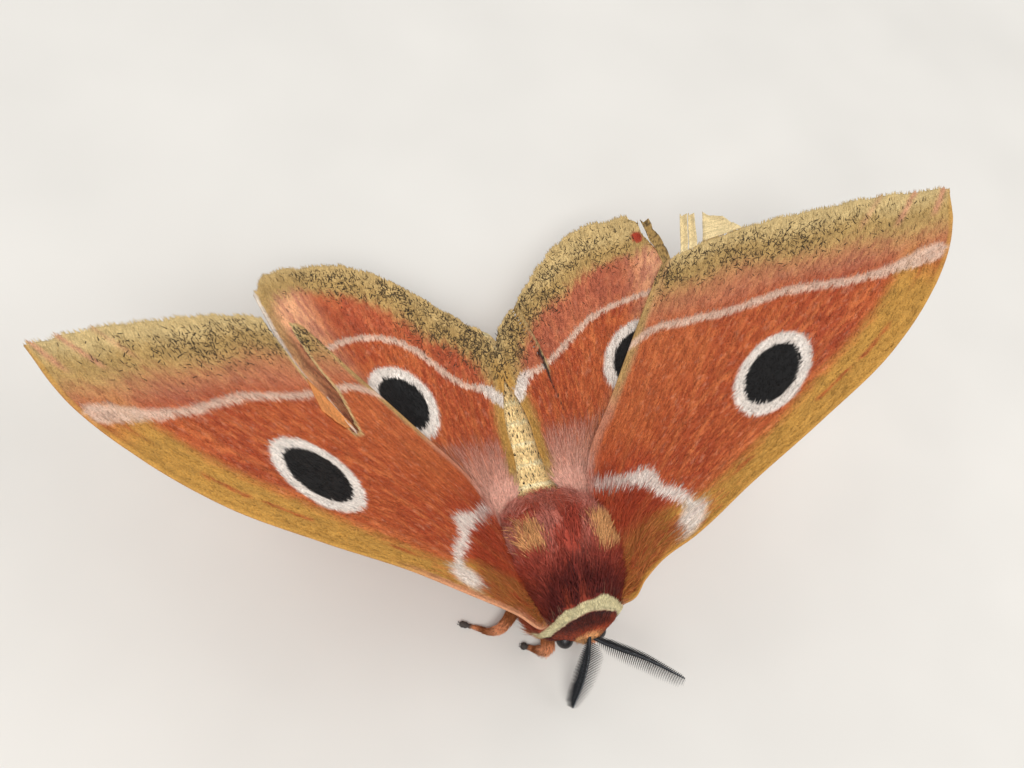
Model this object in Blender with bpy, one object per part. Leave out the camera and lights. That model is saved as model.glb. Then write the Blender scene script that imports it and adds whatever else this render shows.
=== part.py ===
# Chestnut emperor moth at life size, wings held in a shallow V, standing on its six feet.
# Lengths below are millimetres in the moth's own frame: X to its left, Y to its rear, Z up.
# The frame's zero is midway between the roots of the forewings. Everything is moved at the end so
# that the origin is under the middle of the whole moth, at the height of the feet.

import math

import bmesh
import bpy
import numpy as np

MM = 0.001
GAP = 0.32
FLOOR = -13.4

# Body: stations along Y as (y, half width, top, bottom)
THORAX = [
    (0.05, 4.1, -2.1, -8.6),
    (0.5, 4.9, -1.2, -9.4),
    (1.8, 5.6, -0.2, -10.3),
    (4.5, 5.9, 0.5, -10.7),
    (8.0, 5.9, 0.3, -10.7),
    (11.0, 5.3, -1.2, -10.5),
    (13.3, 4.3, -3.4, -9.9),
    (14.5, 3.0, -5.2, -9.2),
]
ABDOMEN = [
    (14.9, 2.6, -6.0, -11.0),
    (15.6, 3.4, -5.4, -12.1),
    (19.0, 3.9, -5.1, -12.7),
    (24.0, 4.0, -4.7, -12.7),
    (29.0, 3.7, -4.6, -12.3),
    (33.5, 2.9, -5.2, -11.7),
    (36.3, 1.7, -6.4, -10.8),
    (37.3, 0.7, -7.6, -9.8),
]
BOXINESS = 2.4

# Locks of the thorax coat in rows from front to rear, each a flat tapered blade along the body
LOCK_ROWS = [1.6, 3.5, 5.4, 7.3, 9.2, 11.1]
LOCK_SPACING = 1.15
LOCK_REACH_ACROSS = 3.6
LOCK_REACH_SHARE = 0.68
LOCK_WANDER = 0.12
LOCK_CONVERGE = 0.94
LOCK_ARCH = 0.25
LOCK_TAPER = [(0.0, 0.85), (0.4, 1.0), (0.75, 0.75), (1.0, 0.12)]
LOCK_LENGTH = 3.0
LOCK_HALF_WIDTH = 0.62
LOCK_HALF_THICKNESS = 0.3
LOCK_SUNK = 0.5
LOCK_STAND = 0.55
LOCK_SEED = 5
RUMP_LOCKS = [-2.1, -1.05, 0.0, 1.05, 2.1]
RUMP_FROM = (12.3, -3.2)
RUMP_TO = (16.4, -4.55)
RUMP_CONVERGE = 0.9
RUMP_SHORTEN = 0.12
RUMP_ARCH = 0.45
ABDOMEN_SEGMENTS = 7
SEGMENT_STEP = 0.16

# Prothorax with the pale collar, and the head below it
COLLAR = [
    (-1.4, 3.8, -2.9, -7.9),
    (-1.05, 4.6, -1.9, -8.7),
    (-0.65, 5.0, -1.2, -9.1),
    (-0.28, 4.7, -1.5, -8.9),
]
HEAD_CENTRE = (0.75, -2.55, -6.1)
HEAD_HALF = (2.0, 0.82, 2.1)
HEAD_FLAT = 1.55
PALP_BASE = (0.5, -2.9, -7.2)
PALP_TIP = (0.6, -4.1, -7.7)
PALP_RADIUS = 0.38
PALP_TIP_SHARE = 0.5
EYE_RADIUS = 0.95
EYE_SUNK = 0.35
EYE_DROP = 0.3
EYE_FORWARD = 0.15

# Forewing: place along the span, then across it towards the rear edge, both from the root
WING_ROOT = (5.135, 0.05, 0.16)
SWEEP = {"left": 35.2, "right": 33.5}
DIHEDRAL = {"left": 25.1, "right": 26.5}
PITCH = {"left": 30.5, "right": 30.6}
FORE_COSTA = [
    (1.2, -0.8), (8.0, -1.7), (16.5, -3.0), (26.5, -4.8),
    (35.5, -6.1), (43.0, -5.6), (50.0, -3.5), (55.0, 0.0),
]
FORE_OUTER = [(55.0, 0.0), (53.2, 3.1), (49.5, 8.1), (43.7, 14.8), (38.5, 20.0), (32.2, 23.7)]
FORE_INNER = [(9.0, 15.0), (14.7, 17.1), (22.5, 20.1), (32.2, 23.7)]
FORE_BASE = (0.5, 10.2)
FORE_TEAR = [
    (41.0, 26.6), (36.5, 20.7), (31.9, 16.5), (29.8, 15.0), (27.4, 13.1), (24.4, 11.3),
    (23.5, 11.9), (26.7, 16.3), (29.5, 18.3), (32.9, 21.8), (35.0, 26.6),
]
TEAR_REACH = 4.0
ROOT_DROOP = 1.3
ROOT_DROOP_FROM = 3.0
ROOT_DROOP_REACH = 9.0

# Hindwing in plan: X outwards and Y to the rear; the left one has lost its tip
HIND_COSTA = {
    "left": [(13.0, 14.3), (19.0, 22.1), (22.3, 30.6), (22.9, 37.0), (22.5, 43.4)],
    "right": [(13.0, 14.3), (19.6, 22.1), (24.2, 31.0), (26.6, 40.6)],
}
HIND_TIP = {"left": [(22.5, 43.4), (21.5, 46.5)], "right": [(26.6, 40.6), (25.2, 43.9), (22.1, 46.3)]}
HIND_OUTER = [(17.6, 47.3), (12.9, 45.8), (8.4, 42.3), (4.2, 38.1), (1.3, 35.2)]
HIND_INNER = [(3.6, 15.7), (2.1, 18.8), (1.5, 22.3), (0.8, 26.4), (0.6, 31.4), (1.3, 35.2)]
HIND_BASE = (8.6, 13.2)
HIND_DROP = 1.85
DRAPE_HEIGHT = -5.0
DRAPE_RISE = 0.085
DRAPE_FROM = 15.0
DRAPE_TO = 32.0
DRAPE_SOFTNESS = 0.8

# Membrane and veins: the share of the wing from front edge to rear edge, and from root to margin
MEMBRANE = 0.5
VEIN_RISE = 0.24
VEIN_LOSS = 0.55
VEIN_HALF_SHARE = 0.011
VEIN_ROOM = 0.3
FORE_VEINS = [
    (0.07, 0.0), (0.15, 0.12), (0.24, 0.0), (0.36, 0.5), (0.47, 0.5),
    (0.58, 0.0), (0.7, 0.14), (0.82, 0.14), (0.93, 0.0),
]
FORE_CELL_END = 0.5
FORE_CELL = (0.24, 0.58)
HIND_VEINS = [(0.08, 0.0), (0.22, 0.0), (0.36, 0.42), (0.5, 0.42), (0.63, 0.0), (0.77, 0.12), (0.9, 0.0)]
HIND_CELL_END = 0.42
HIND_CELL = (0.22, 0.63)
FORE_ROWS = 15
HIND_ROWS = 13
FRONT_EDGE_RISE = 0.2

# Feelers: shaft from base to tip by way of a middle point, and the blade of comb teeth
FEELER_BASE = {"left": (1.8, -3.55, -4.8), "right": (0.25, -3.68, -5.0)}
FEELER_MIDDLE = {"left": (5.7, -6.75, -4.0), "right": (-0.5, -6.5, -8.1)}
FEELER_TIP = {"left": (9.1, -9.65, -4.2), "right": (-1.3, -8.6, -12.0)}
FEELER_TURN = {"left": 30.0, "right": 0.0}
FEELER_RADIUS = 0.34
FEELER_TIP_RADIUS = 0.2
RAMI_PAIRS = 12
RAMUS_LENGTH = 1.15
RAMUS_SHARE = 0.72
RAMUS_TIP_RADIUS = 0.1
RAMUS_APART = 0.07
RAMUS_LEAN = 0.45
RAMUS_FIRST = 0.1
RAMUS_LAST = 0.93
# Length of a tooth along the feeler: a sine arch from its start, with a power that fills it out
RAMUS_ARCH_START = 0.12
RAMUS_ARCH_RATE = 0.86
RAMUS_ARCH_POWER = 0.7
RAMUS_LEAST = 0.15

# Legs: the path from the thorax to the end of the foot, with the radius at each point
LEGS = {
    "foreleg": [((2.1, 1.5, -11.35), 0.75), ((2.4, -0.6, -11.5), 0.8), ((3.0, -1.9, -11.5), 0.75),
                ((4.0, -1.5, -12.6), 0.45), ((4.5, -1.1, -13.08), 0.4), ((6.0, -0.2, -13.08), 0.38)],
    "midleg": [((3.0, 5.0, -11.55), 0.8), ((5.4, 3.6, -11.3), 0.85), ((7.4, 2.4, -11.3), 0.7),
               ((8.8, 2.3, -12.6), 0.45), ((9.6, 2.8, -13.08), 0.4), ((12.0, 3.9, -13.08), 0.38)],
    "hindleg": [((2.8, 9.4, -11.5), 0.8), ((5.4, 12.6, -11.3), 0.85), ((7.6, 15.6, -11.3), 0.7),
                ((8.9, 18.6, -12.6), 0.45), ((9.6, 20.4, -13.08), 0.4), ((11.0, 25.4, -13.08), 0.38)],
}
LEG_SIDES = 8

BRICK_RED = (0.42, 0.11, 0.05, 1.0)
MAROON = (0.22, 0.03, 0.03, 1.0)
STRAW = (0.62, 0.42, 0.18, 1.0)
CREAM = (0.8, 0.74, 0.58, 1.0)
ORANGE_TAN = (0.45, 0.19, 0.07, 1.0)
SOOT = (0.012, 0.012, 0.014, 1.0)


def clear_scene():
    for old in list(bpy.data.objects):
        bpy.data.objects.remove(old, do_unlink=True)


def finish(name, colour, roughness):
    material = bpy.data.materials.new(name)
    material.use_nodes = True
    shader = material.node_tree.nodes["Principled BSDF"]
    shader.inputs["Base Color"].default_value = colour
    shader.inputs["Roughness"].default_value = roughness
    shader.inputs["Metallic"].default_value = 0.0
    return material


def add_node(name, points, faces, material):
    mesh = bpy.data.meshes.new(name)
    mesh.from_pydata((np.asarray(points) * MM).tolist(), [], faces)
    mesh.materials.append(material)
    mesh.shade_smooth()
    mesh.set_sharp_from_angle(angle=math.radians(50))
    node = bpy.data.objects.new(name, mesh)
    bpy.context.scene.collection.objects.link(node)
    return node


def smooth_curve(points, share):
    """Point at each share of the length of a smooth curve through the points."""
    points = np.asarray(points, float)
    steps = np.linalg.norm(np.diff(points, axis=0), axis=1)
    knots = np.concatenate([[0.0], np.cumsum(steps)])
    slopes = np.gradient(points, knots, axis=0)
    at = np.asarray(share, float) * knots[-1]
    span = np.clip(np.searchsorted(knots, at, side="right") - 1, 0, len(steps) - 1)
    length = steps[span][..., None]
    t = (at - knots[span])[..., None] / length
    start, end = points[span], points[span + 1]
    start_slope, end_slope = slopes[span] * length, slopes[span + 1] * length
    return (
        start * (2 * t**3 - 3 * t**2 + 1)
        + start_slope * (t**3 - 2 * t**2 + t)
        + end * (3 * t**2 - 2 * t**3)
        + end_slope * (t**3 - t**2)
    )


def station(stations, y):
    """Half width, top and bottom of a body at y."""
    table = np.asarray(stations)
    return [np.interp(y, table[:, 0], table[:, k]) for k in (1, 2, 3)]


def ring(half_width, top, bottom, y, sides, middle=0.0):
    """One rounded-box section of the body, sides points anticlockwise seen from the front."""
    angle = np.linspace(0.0, 2.0 * math.pi, sides, endpoint=False)
    cosine, sine = np.cos(angle), np.sin(angle)
    x = middle + half_width * np.sign(cosine) * np.abs(cosine) ** (2.0 / BOXINESS)
    z = (top + bottom) / 2.0 + (top - bottom) / 2.0 * np.sign(sine) * np.abs(sine) ** (2.0 / BOXINESS)
    return np.stack([x, np.full(sides, y), z], axis=1)


def loft(rings):
    """Triangles that join the rings in turn, with a fan at each end."""
    count, sides = len(rings), len(rings[0])
    points = [point for one in rings for point in one]
    faces = []
    for r in range(count - 1):
        for k in range(sides):
            a, b = r * sides + k, r * sides + (k + 1) % sides
            c, d = b + sides, a + sides
            faces += [(a, b, c), (a, c, d)]
    first, last = len(points), len(points) + 1
    points += [np.mean(rings[0], axis=0), np.mean(rings[-1], axis=0)]
    top = (count - 1) * sides
    for k in range(sides):
        faces.append((first, (k + 1) % sides, k))
        faces.append((last, top + k, top + (k + 1) % sides))
    return points, faces


def body_loft(stations, rows, sides, swelling=None):
    """Body between its first and last station, its sections read from a smooth curve."""
    table = np.asarray(stations)
    at = smooth_curve(table, np.linspace(0.0, 1.0, rows))
    rings = []
    for y, half_width, top, bottom in at:
        extra = swelling(y) if swelling else 0.0
        rings.append(ring(half_width + extra, top + extra, bottom - extra, y, sides)[::-1])
    return loft(rings)


def fuse(node, pieces):
    """Union of a node with loose closed meshes, which keeps only its largest closed surface."""
    joined = bpy.data.collections.new("joined")
    for k, (points, faces) in enumerate(pieces):
        joined.objects.link(loose_object(f"{node.name}_piece_{k}", points, faces))
    apply_boolean(node, "UNION", joined)
    keep_largest(node)
    return node


def loose_object(name, points, faces):
    mesh = bpy.data.meshes.new(name)
    mesh.from_pydata((np.asarray(points) * MM).tolist(), [], faces)
    return bpy.data.objects.new(name, mesh)


def apply_boolean(node, operation, joined):
    """Applies the Boolean with a collection's objects, then removes them."""
    bpy.context.scene.collection.children.link(joined)
    boolean = node.modifiers.new(operation.lower(), "BOOLEAN")
    boolean.operation = operation
    boolean.operand_type = "COLLECTION"
    boolean.collection = joined
    boolean.solver = "EXACT"
    bpy.context.view_layer.update()
    whole = bpy.data.meshes.new_from_object(node.evaluated_get(bpy.context.evaluated_depsgraph_get()))
    node.modifiers.clear()
    node.data = whole
    whole.name = node.name
    for piece in list(joined.objects):
        bpy.data.objects.remove(piece, do_unlink=True)
    bpy.data.collections.remove(joined)


def keep_largest(node):
    """Drops all but the closed surface with the most faces."""
    shape = bmesh.new()
    shape.from_mesh(node.data)
    bmesh.ops.triangulate(shape, faces=shape.faces)
    waiting = set(shape.faces)
    surfaces = []
    while waiting:
        stack = [waiting.pop()]
        surface = list(stack)
        while stack:
            for edge in stack.pop().edges:
                for face in edge.link_faces:
                    if face in waiting:
                        waiting.remove(face)
                        stack.append(face)
                        surface.append(face)
        surfaces.append(surface)
    surfaces.sort(key=len)
    loose = [face for surface in surfaces[:-1] for face in surface]
    bmesh.ops.delete(shape, geom=loose, context="FACES")
    shape.to_mesh(node.data)
    shape.free()


def lock(root, tip, rise, half_width, half_thickness):
    """Flat tapered blade from root to tip, arched by rise half way along, as a closed mesh."""
    share, taper = np.array(LOCK_TAPER).T
    root, tip = np.asarray(root), np.asarray(tip)
    path = root + share[:, None] * (tip - root) + np.outer(np.sin(math.pi * share) * rise, (0.0, 0.0, 1.0))
    along, across, up = frames(path)
    points, faces = sweep(path, across, up, half_width * taper, half_thickness * taper, sides=4)
    return points, [face[::-1] for face in faces]


def thorax_locks():
    """Rows of locks that lie to the rear over the top of the thorax, and a last row over the waist."""
    draw = np.random.default_rng(LOCK_SEED)
    locks = []
    for row, y in enumerate(LOCK_ROWS):
        half_width, top, bottom = station(THORAX, y)
        reach = min(LOCK_REACH_ACROSS, LOCK_REACH_SHARE * half_width)
        count = int(2 * reach / LOCK_SPACING) + 1 - row % 2
        for x in np.linspace(-reach, reach, count):
            x = x + draw.uniform(-LOCK_WANDER, LOCK_WANDER)
            length = LOCK_LENGTH * draw.uniform(0.85, 1.1)
            start = (x, y, thorax_top(x, y) - LOCK_SUNK)
            end_y = min(y + length, THORAX[-1][0] - 0.2)
            end_x = x * LOCK_CONVERGE
            end = (end_x, end_y, thorax_top(end_x, end_y) + LOCK_STAND)
            locks.append(lock(start, end, LOCK_ARCH, LOCK_HALF_WIDTH, LOCK_HALF_THICKNESS))
    for x in RUMP_LOCKS:
        length_share = 1.0 - RUMP_SHORTEN * abs(x)
        start = (x, *RUMP_FROM)
        end = (x * RUMP_CONVERGE, *(np.array(RUMP_FROM) + length_share * (np.array(RUMP_TO) - RUMP_FROM)))
        locks.append(lock(start, end, RUMP_ARCH, LOCK_HALF_WIDTH, LOCK_HALF_THICKNESS))
    return locks


def thorax_top(x, y):
    """Height of the thorax above a point of the plan."""
    half_width, top, bottom = station(THORAX, y)
    share = min(abs(x) / half_width, 0.999)
    return (top + bottom) / 2.0 + (top - bottom) / 2.0 * (1.0 - share**BOXINESS) ** (1.0 / BOXINESS)


def make_thorax(material):
    points, faces = body_loft(THORAX, rows=18, sides=26)
    return fuse(add_node("thorax", points, faces, material), thorax_locks())


def make_abdomen(material):
    start, end = ABDOMEN[1][0], ABDOMEN[-2][0]

    def swelling(y):
        """Each segment swells towards its rear edge and steps down to the next."""
        place = (y - start) / (end - start) * ABDOMEN_SEGMENTS
        return SEGMENT_STEP * ((place % 1.0) - 0.5) if 0.0 < place < ABDOMEN_SEGMENTS else 0.0

    points, faces = body_loft(ABDOMEN, rows=36, sides=20, swelling=swelling)
    return add_node("abdomen", points, faces, material)


def make_collar(material):
    points, faces = body_loft(COLLAR, rows=8, sides=24)
    return add_node("collar", points, faces, material)


def ball(centre, half, rows, sides):
    """Closed ellipsoid as rings along Y."""
    centre, half = np.asarray(centre), np.asarray(half)
    rings = []
    for tilt in np.linspace(0.0, math.pi, rows + 2)[1:-1]:
        angle = np.linspace(0.0, 2.0 * math.pi, sides, endpoint=False)[::-1]
        unit_x, unit_z = np.sin(tilt) * np.cos(angle), np.sin(tilt) * np.sin(angle)
        rings.append(centre + np.stack([unit_x, np.full(sides, -np.cos(tilt)), unit_z], axis=1) * half)
    return loft(rings)


def make_head(material):
    points, faces = ball(HEAD_CENTRE, HEAD_HALF, rows=10, sides=20)
    points = np.asarray(points)
    points[:, 0] = np.clip(points[:, 0], HEAD_CENTRE[0] - HEAD_FLAT, HEAD_CENTRE[0] + HEAD_FLAT)
    palps = []
    for sign in (-1, 1):
        base = np.array(PALP_BASE) * (sign, 1.0, 1.0) + (HEAD_CENTRE[0], 0.0, 0.0)
        tip = np.array(PALP_TIP) * (sign, 1.0, 1.0) + (HEAD_CENTRE[0], 0.0, 0.0)
        palps.append(ray(base, tip, (1.0, 0.0, 0.0), PALP_RADIUS, PALP_RADIUS * PALP_TIP_SHARE, sides=6))
    return fuse(add_node("head", points, faces, material), palps)


def ray(root, tip, level, root_radius, tip_radius, sides):
    """Tapered rod from root to tip as a closed mesh; level is a direction across it."""
    path = np.linspace(root, tip, 3)
    along = (path[2] - path[0]) / np.linalg.norm(path[2] - path[0])
    across = np.asarray(level) - np.dot(level, along) * along
    across = np.tile(across / np.linalg.norm(across), (3, 1))
    up = np.cross(across, along)
    radius = np.linspace(root_radius, tip_radius, 3)
    points, faces = sweep(path, across, up, radius, radius, sides)
    return points, [face[::-1] for face in faces]


def make_eye(side, material):
    sign = 1 if side == "left" else -1
    flat = HEAD_CENTRE[0] + sign * (HEAD_FLAT + GAP)
    centre = (flat + sign * EYE_SUNK, HEAD_CENTRE[1] - EYE_FORWARD, HEAD_CENTRE[2] - EYE_DROP)
    points, faces = ball(centre, (EYE_RADIUS,) * 3, rows=8, sides=14)
    points = np.asarray(points)
    points[:, 0] = sign * np.maximum(sign * points[:, 0], sign * flat)
    return add_node("eye_" + side, points, faces, material)


def sweep(path, across, up, half_width, half_height, sides):
    """Closed tube along a path, a flat side of it underneath; across and up are unit vectors."""
    angle = (np.arange(sides) + 0.5) / sides * 2.0 * math.pi
    rings = []
    for k in range(len(path)):
        offset = np.outer(np.cos(angle), across[k]) * half_width[k]
        offset = offset + np.outer(np.sin(angle), up[k]) * half_height[k]
        rings.append(path[k] + offset)
    return loft(rings)


def frames(path):
    """Unit vectors across and over a path, the first one level."""
    along = np.gradient(path, axis=0)
    along /= np.linalg.norm(along, axis=1)[:, None]
    across = np.cross(along, (0.0, 0.0, 1.0))
    across /= np.linalg.norm(across, axis=1)[:, None]
    return along, across, np.cross(across, along)


def make_feeler(side, material):
    stops = [FEELER_BASE[side], FEELER_MIDDLE[side], FEELER_TIP[side]]
    share = np.linspace(0.0, 1.0, 14)
    path = smooth_curve(stops, share)
    along, across, up = frames(path)
    turn = math.radians(FEELER_TURN[side])
    across, up = across * math.cos(turn) + up * math.sin(turn), up * math.cos(turn) - across * math.sin(turn)
    radius = FEELER_RADIUS + (FEELER_TIP_RADIUS - FEELER_RADIUS) * share
    points, faces = sweep(path, across, up, radius, radius, sides=8)
    node = add_node("antenna_" + side, points, [face[::-1] for face in faces], material)
    rami = []
    for place in np.linspace(RAMUS_FIRST, RAMUS_LAST, RAMI_PAIRS):
        root = smooth_curve(stops, place)
        forward, beside, over = (
            np.array([np.interp(place, share, direction[:, k]) for k in range(3)])
            for direction in (along, across, up)
        )
        length = RAMUS_LENGTH * ramus_share(place)
        thickness = RAMUS_SHARE * np.interp(place, share, radius)
        for sign in (-1, 1):
            start = root + sign * beside * RAMUS_APART
            tip = root + sign * beside * length + forward * length * RAMUS_LEAN
            rami.append(ray(start, tip, over, thickness, RAMUS_TIP_RADIUS, sides=4))
    return fuse(node, rami)


def ramus_share(place):
    """Length of the comb teeth along the feeler: short at the root, longest before half way."""
    arch = math.sin(math.pi * min(place * RAMUS_ARCH_RATE + RAMUS_ARCH_START, 1.0))
    return arch**RAMUS_ARCH_POWER + RAMUS_LEAST


def make_leg(name, side, material):
    sign = 1 if side == "left" else -1
    stops = np.array([place for place, radius in LEGS[name]]) * (sign, 1.0, 1.0)
    radii = np.array([radius for place, radius in LEGS[name]])
    rows = 19
    share = np.linspace(0.0, 1.0, rows)
    path = smooth_curve(stops, share)
    steps = np.linalg.norm(np.diff(stops, axis=0), axis=1)
    radius = np.interp(share, np.concatenate([[0.0], np.cumsum(steps)]) / steps.sum(), radii)
    along, across, up = frames(path)
    points, faces = sweep(path, across, up, radius, radius, LEG_SIDES)
    points = np.asarray(points)
    points[:, 2] = np.maximum(points[:, 2], FLOOR)
    return add_node(name + "_" + side, points, [face[::-1] for face in faces], material)


def wing_axes(side):
    """Unit vectors of the forewing: root to apex, front edge to rear edge, and up from the wing."""
    sign = 1 if side == "left" else -1
    sweep_angle = math.radians(SWEEP[side])
    lift, pitch = math.radians(DIHEDRAL[side]), math.radians(PITCH[side])
    span = np.array([
        math.cos(sweep_angle) * math.cos(lift), math.sin(sweep_angle) * math.cos(lift), math.sin(lift)
    ])
    level = np.array([-math.sin(sweep_angle), math.cos(sweep_angle), 0.0])
    chord = level * math.cos(pitch) - np.cross(span, level) * math.sin(pitch)
    up = np.cross(span, chord)
    flip = np.array([sign, 1.0, 1.0])
    return span * flip, chord * flip, up * flip


def forewing_height(side, x, y):
    """Height of the forewing's plane, which droops towards its root."""
    span, chord, up = wing_axes(side)
    sign = 1 if side == "left" else -1
    root = np.array(WING_ROOT) * (sign, 1.0, 1.0)
    height = root[2] - (up[0] * (x - root[0]) + up[1] * (y - root[1])) / up[2]
    outward = np.clip(1.0 - (np.abs(x) - ROOT_DROOP_FROM) / ROOT_DROOP_REACH, 0.0, None)
    return height - ROOT_DROOP * outward**2


def hindwing_height(side, x, y):
    """Below the forewing's plane, and laid over the abdomen near the middle."""
    under = forewing_height(side, x, y) - HIND_DROP
    drape = DRAPE_HEIGHT + DRAPE_RISE * (np.clip(y, DRAPE_FROM, DRAPE_TO) - DRAPE_FROM)
    return 0.5 * (under + drape + np.sqrt((under - drape) ** 2 + DRAPE_SOFTNESS**2))


def meet_thorax(side, height, y):
    """Where the wing's middle surface stands off the thorax by the gap and half a membrane."""
    sign = 1 if side == "left" else -1
    clear = GAP + MEMBRANE / 2.0
    half_width, top, bottom = station(THORAX, y)
    middle, half_height = (top + bottom) / 2.0, (top - bottom) / 2.0 + clear
    inner, outer = 0.5, 9.0
    for step in range(40):
        x = (inner + outer) / 2.0
        z = height(side, sign * x, y)
        inside = (x / (half_width + clear)) ** BOXINESS + (abs(z - middle) / half_height) ** BOXINESS < 1.0
        inner, outer = (x, outer) if inside else (inner, x)
    return sign * outer, y


def column_shares(veins):
    """Shares across the wing at which the grid has a column, and the vein of each, if any."""
    centres = [0.0] + [place for place, start in veins] + [1.0]
    shares, owners = [0.0], [None]
    for k, (place, start) in enumerate(veins):
        half = min(VEIN_HALF_SHARE, VEIN_ROOM * (place - centres[k]), VEIN_ROOM * (centres[k + 2] - place))
        middle = (centres[k] + place) / 2.0
        shares += [middle, place - half, place, place + half]
        owners += [None, None, k, None]
    shares += [(centres[-2] + 1.0) / 2.0, 1.0]
    owners += [None, None]
    return np.array(shares), owners


def wing_grid(base, outer, front, back, across, along):
    """Plan of a wing stretched between its four edges: rows from root to margin."""
    v = along[:, None, None]
    u = across[None, :, None]
    base_row, outer_row = base(across)[None], outer(across)[None]
    front_line, back_line = front(along)[:, None], back(along)[:, None]
    corners = (
        (1 - u) * (1 - v) * base_row[:, :1]
        + u * (1 - v) * base_row[:, -1:]
        + (1 - u) * v * outer_row[:, :1]
        + u * v * outer_row[:, -1:]
    )
    return (1 - v) * base_row + v * outer_row + (1 - u) * front_line + u * back_line - corners


def vein_heights(across, along, owners, veins, cell, cell_end):
    """Rise of the veins over the membrane at each point of the grid, fading to the margin."""
    rise = np.zeros((len(along), len(across)))
    fade = VEIN_RISE * (1.0 - VEIN_LOSS * along)
    fade[-1] = 0.0
    for column, owner in enumerate(owners):
        if owner is not None:
            start = veins[owner][1]
            rise[:, column] = np.where(along >= start - 1e-9, fade, 0.0)
    row = int(np.argmin(np.abs(along - cell_end)))
    in_cell = (across >= cell[0] - 1e-9) & (across <= cell[1] + 1e-9)
    rise[row, in_cell] = fade[row]
    rise[:, 0] = FRONT_EDGE_RISE * (1.0 - along)
    rise[0, :] = 0.0
    return rise


def sheet_solid(middle, half, flip):
    """Closed sheet about a grid of points, both faces split along the same diagonals."""
    rows, columns = middle.shape[:2]
    down = np.gradient(middle, axis=0)
    side = np.gradient(middle, axis=1)
    normal = np.cross(side, down)
    normal /= np.linalg.norm(normal, axis=2)[..., None]
    normal *= np.sign(normal[..., 2:3])
    upper = (middle + normal * half[..., None]).reshape(-1, 3)
    lower = (middle - normal * half[..., None]).reshape(-1, 3)
    points = np.concatenate([upper, lower])
    shift = rows * columns
    faces = []
    for r in range(rows - 1):
        for c in range(columns - 1):
            a = r * columns + c
            b, d = a + 1, a + columns
            e = d + 1
            faces += [(a, b, e), (a, e, d)]
            faces += [(a + shift, e + shift, b + shift), (a + shift, d + shift, e + shift)]
    rim = [(c, c + 1) for c in range(columns - 1)]
    rim += [(r * columns + columns - 1, (r + 1) * columns + columns - 1) for r in range(rows - 1)]
    rim += [((rows - 1) * columns + c + 1, (rows - 1) * columns + c) for c in range(columns - 1)]
    rim += [((r + 1) * columns, r * columns) for r in range(rows - 1)]
    for a, b in rim:
        faces += [(b, a, a + shift), (b, a + shift, b + shift)]
    if flip:
        faces = [face[::-1] for face in faces]
    return points, faces


def make_forewing(side, material):
    sign = 1 if side == "left" else -1
    span, chord, up = wing_axes(side)
    root = np.array(WING_ROOT) * (sign, 1.0, 1.0)

    def plan(places):
        places = np.asarray(places)
        return (root + places[..., :1] * span + places[..., 1:] * chord)[..., :2]

    def base(share):
        reach = FORE_BASE[0] + (FORE_BASE[1] - FORE_BASE[0]) * share
        return np.array([meet_thorax(side, forewing_height, y) for y in reach])

    def front(share):
        stops = np.concatenate([base(np.zeros(1)), plan(FORE_COSTA)])
        return smooth_curve(stops, share)

    def back(share):
        stops = np.concatenate([base(np.ones(1)), plan(FORE_INNER)])
        return smooth_curve(stops, share)

    def outer(share):
        return smooth_curve(plan(FORE_OUTER), share)

    across, owners = column_shares(FORE_VEINS)
    along = np.linspace(0.0, 1.0, FORE_ROWS)
    flat = wing_grid(base, outer, front, back, across, along)
    height = forewing_height(side, flat[..., 0], flat[..., 1])
    middle = np.concatenate([flat, height[..., None]], axis=2)
    rise = vein_heights(across, along, owners, FORE_VEINS, FORE_CELL, FORE_CELL_END)
    points, faces = sheet_solid(middle, MEMBRANE / 2.0 + rise / 2.0, flip=side == "left")
    node = add_node("forewing_" + side, points, faces, material)
    if side == "right":
        tear_forewing(node, root, span, chord, up)
    return node


def tear_forewing(node, root, span, chord, up):
    """Cuts the wedge between the two torn edges out of the wing, square to its surface."""
    outline = np.array(FORE_TEAR)
    flat = root + outline[:, :1] * span + outline[:, 1:] * chord
    points = np.concatenate([flat - up * TEAR_REACH, flat + up * TEAR_REACH])
    count = len(outline)
    faces = [tuple(range(count)), tuple(range(2 * count - 1, count - 1, -1))]
    faces += [(k, k + count, (k + 1) % count + count, (k + 1) % count) for k in range(count)]
    cutter = loose_object("tear", points, faces)
    face_outwards(cutter.data)
    cutters = bpy.data.collections.new("cutters")
    cutters.objects.link(cutter)
    apply_boolean(node, "DIFFERENCE", cutters)
    keep_largest(node)


def face_outwards(mesh):
    shape = bmesh.new()
    shape.from_mesh(mesh)
    bmesh.ops.recalc_face_normals(shape, faces=shape.faces)
    shape.to_mesh(mesh)
    shape.free()


def make_hindwing(side, material):
    sign = 1 if side == "left" else -1
    mirror = np.array([sign, 1.0])

    def base(share):
        reach = HIND_BASE[0] + (HIND_BASE[1] - HIND_BASE[0]) * share
        return np.array([meet_thorax(side, hindwing_height, y) for y in reach])

    def front(share):
        stops = np.concatenate([base(np.zeros(1)), np.array(HIND_COSTA[side]) * mirror])
        return smooth_curve(stops, share)

    def back(share):
        stops = np.concatenate([base(np.ones(1)), np.array(HIND_INNER) * mirror])
        return smooth_curve(stops, share)

    def outer(share):
        return smooth_curve(np.array(HIND_TIP[side] + HIND_OUTER) * mirror, share)

    across, owners = column_shares(HIND_VEINS)
    along = np.linspace(0.0, 1.0, HIND_ROWS)
    flat = wing_grid(base, outer, front, back, across, along)
    height = hindwing_height(side, flat[..., 0], flat[..., 1])
    middle = np.concatenate([flat, height[..., None]], axis=2)
    rise = vein_heights(across, along, owners, HIND_VEINS, HIND_CELL, HIND_CELL_END)
    points, faces = sheet_solid(middle, MEMBRANE / 2.0 + rise / 2.0, flip=side == "left")
    return add_node("hindwing_" + side, points, faces, material)


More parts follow.
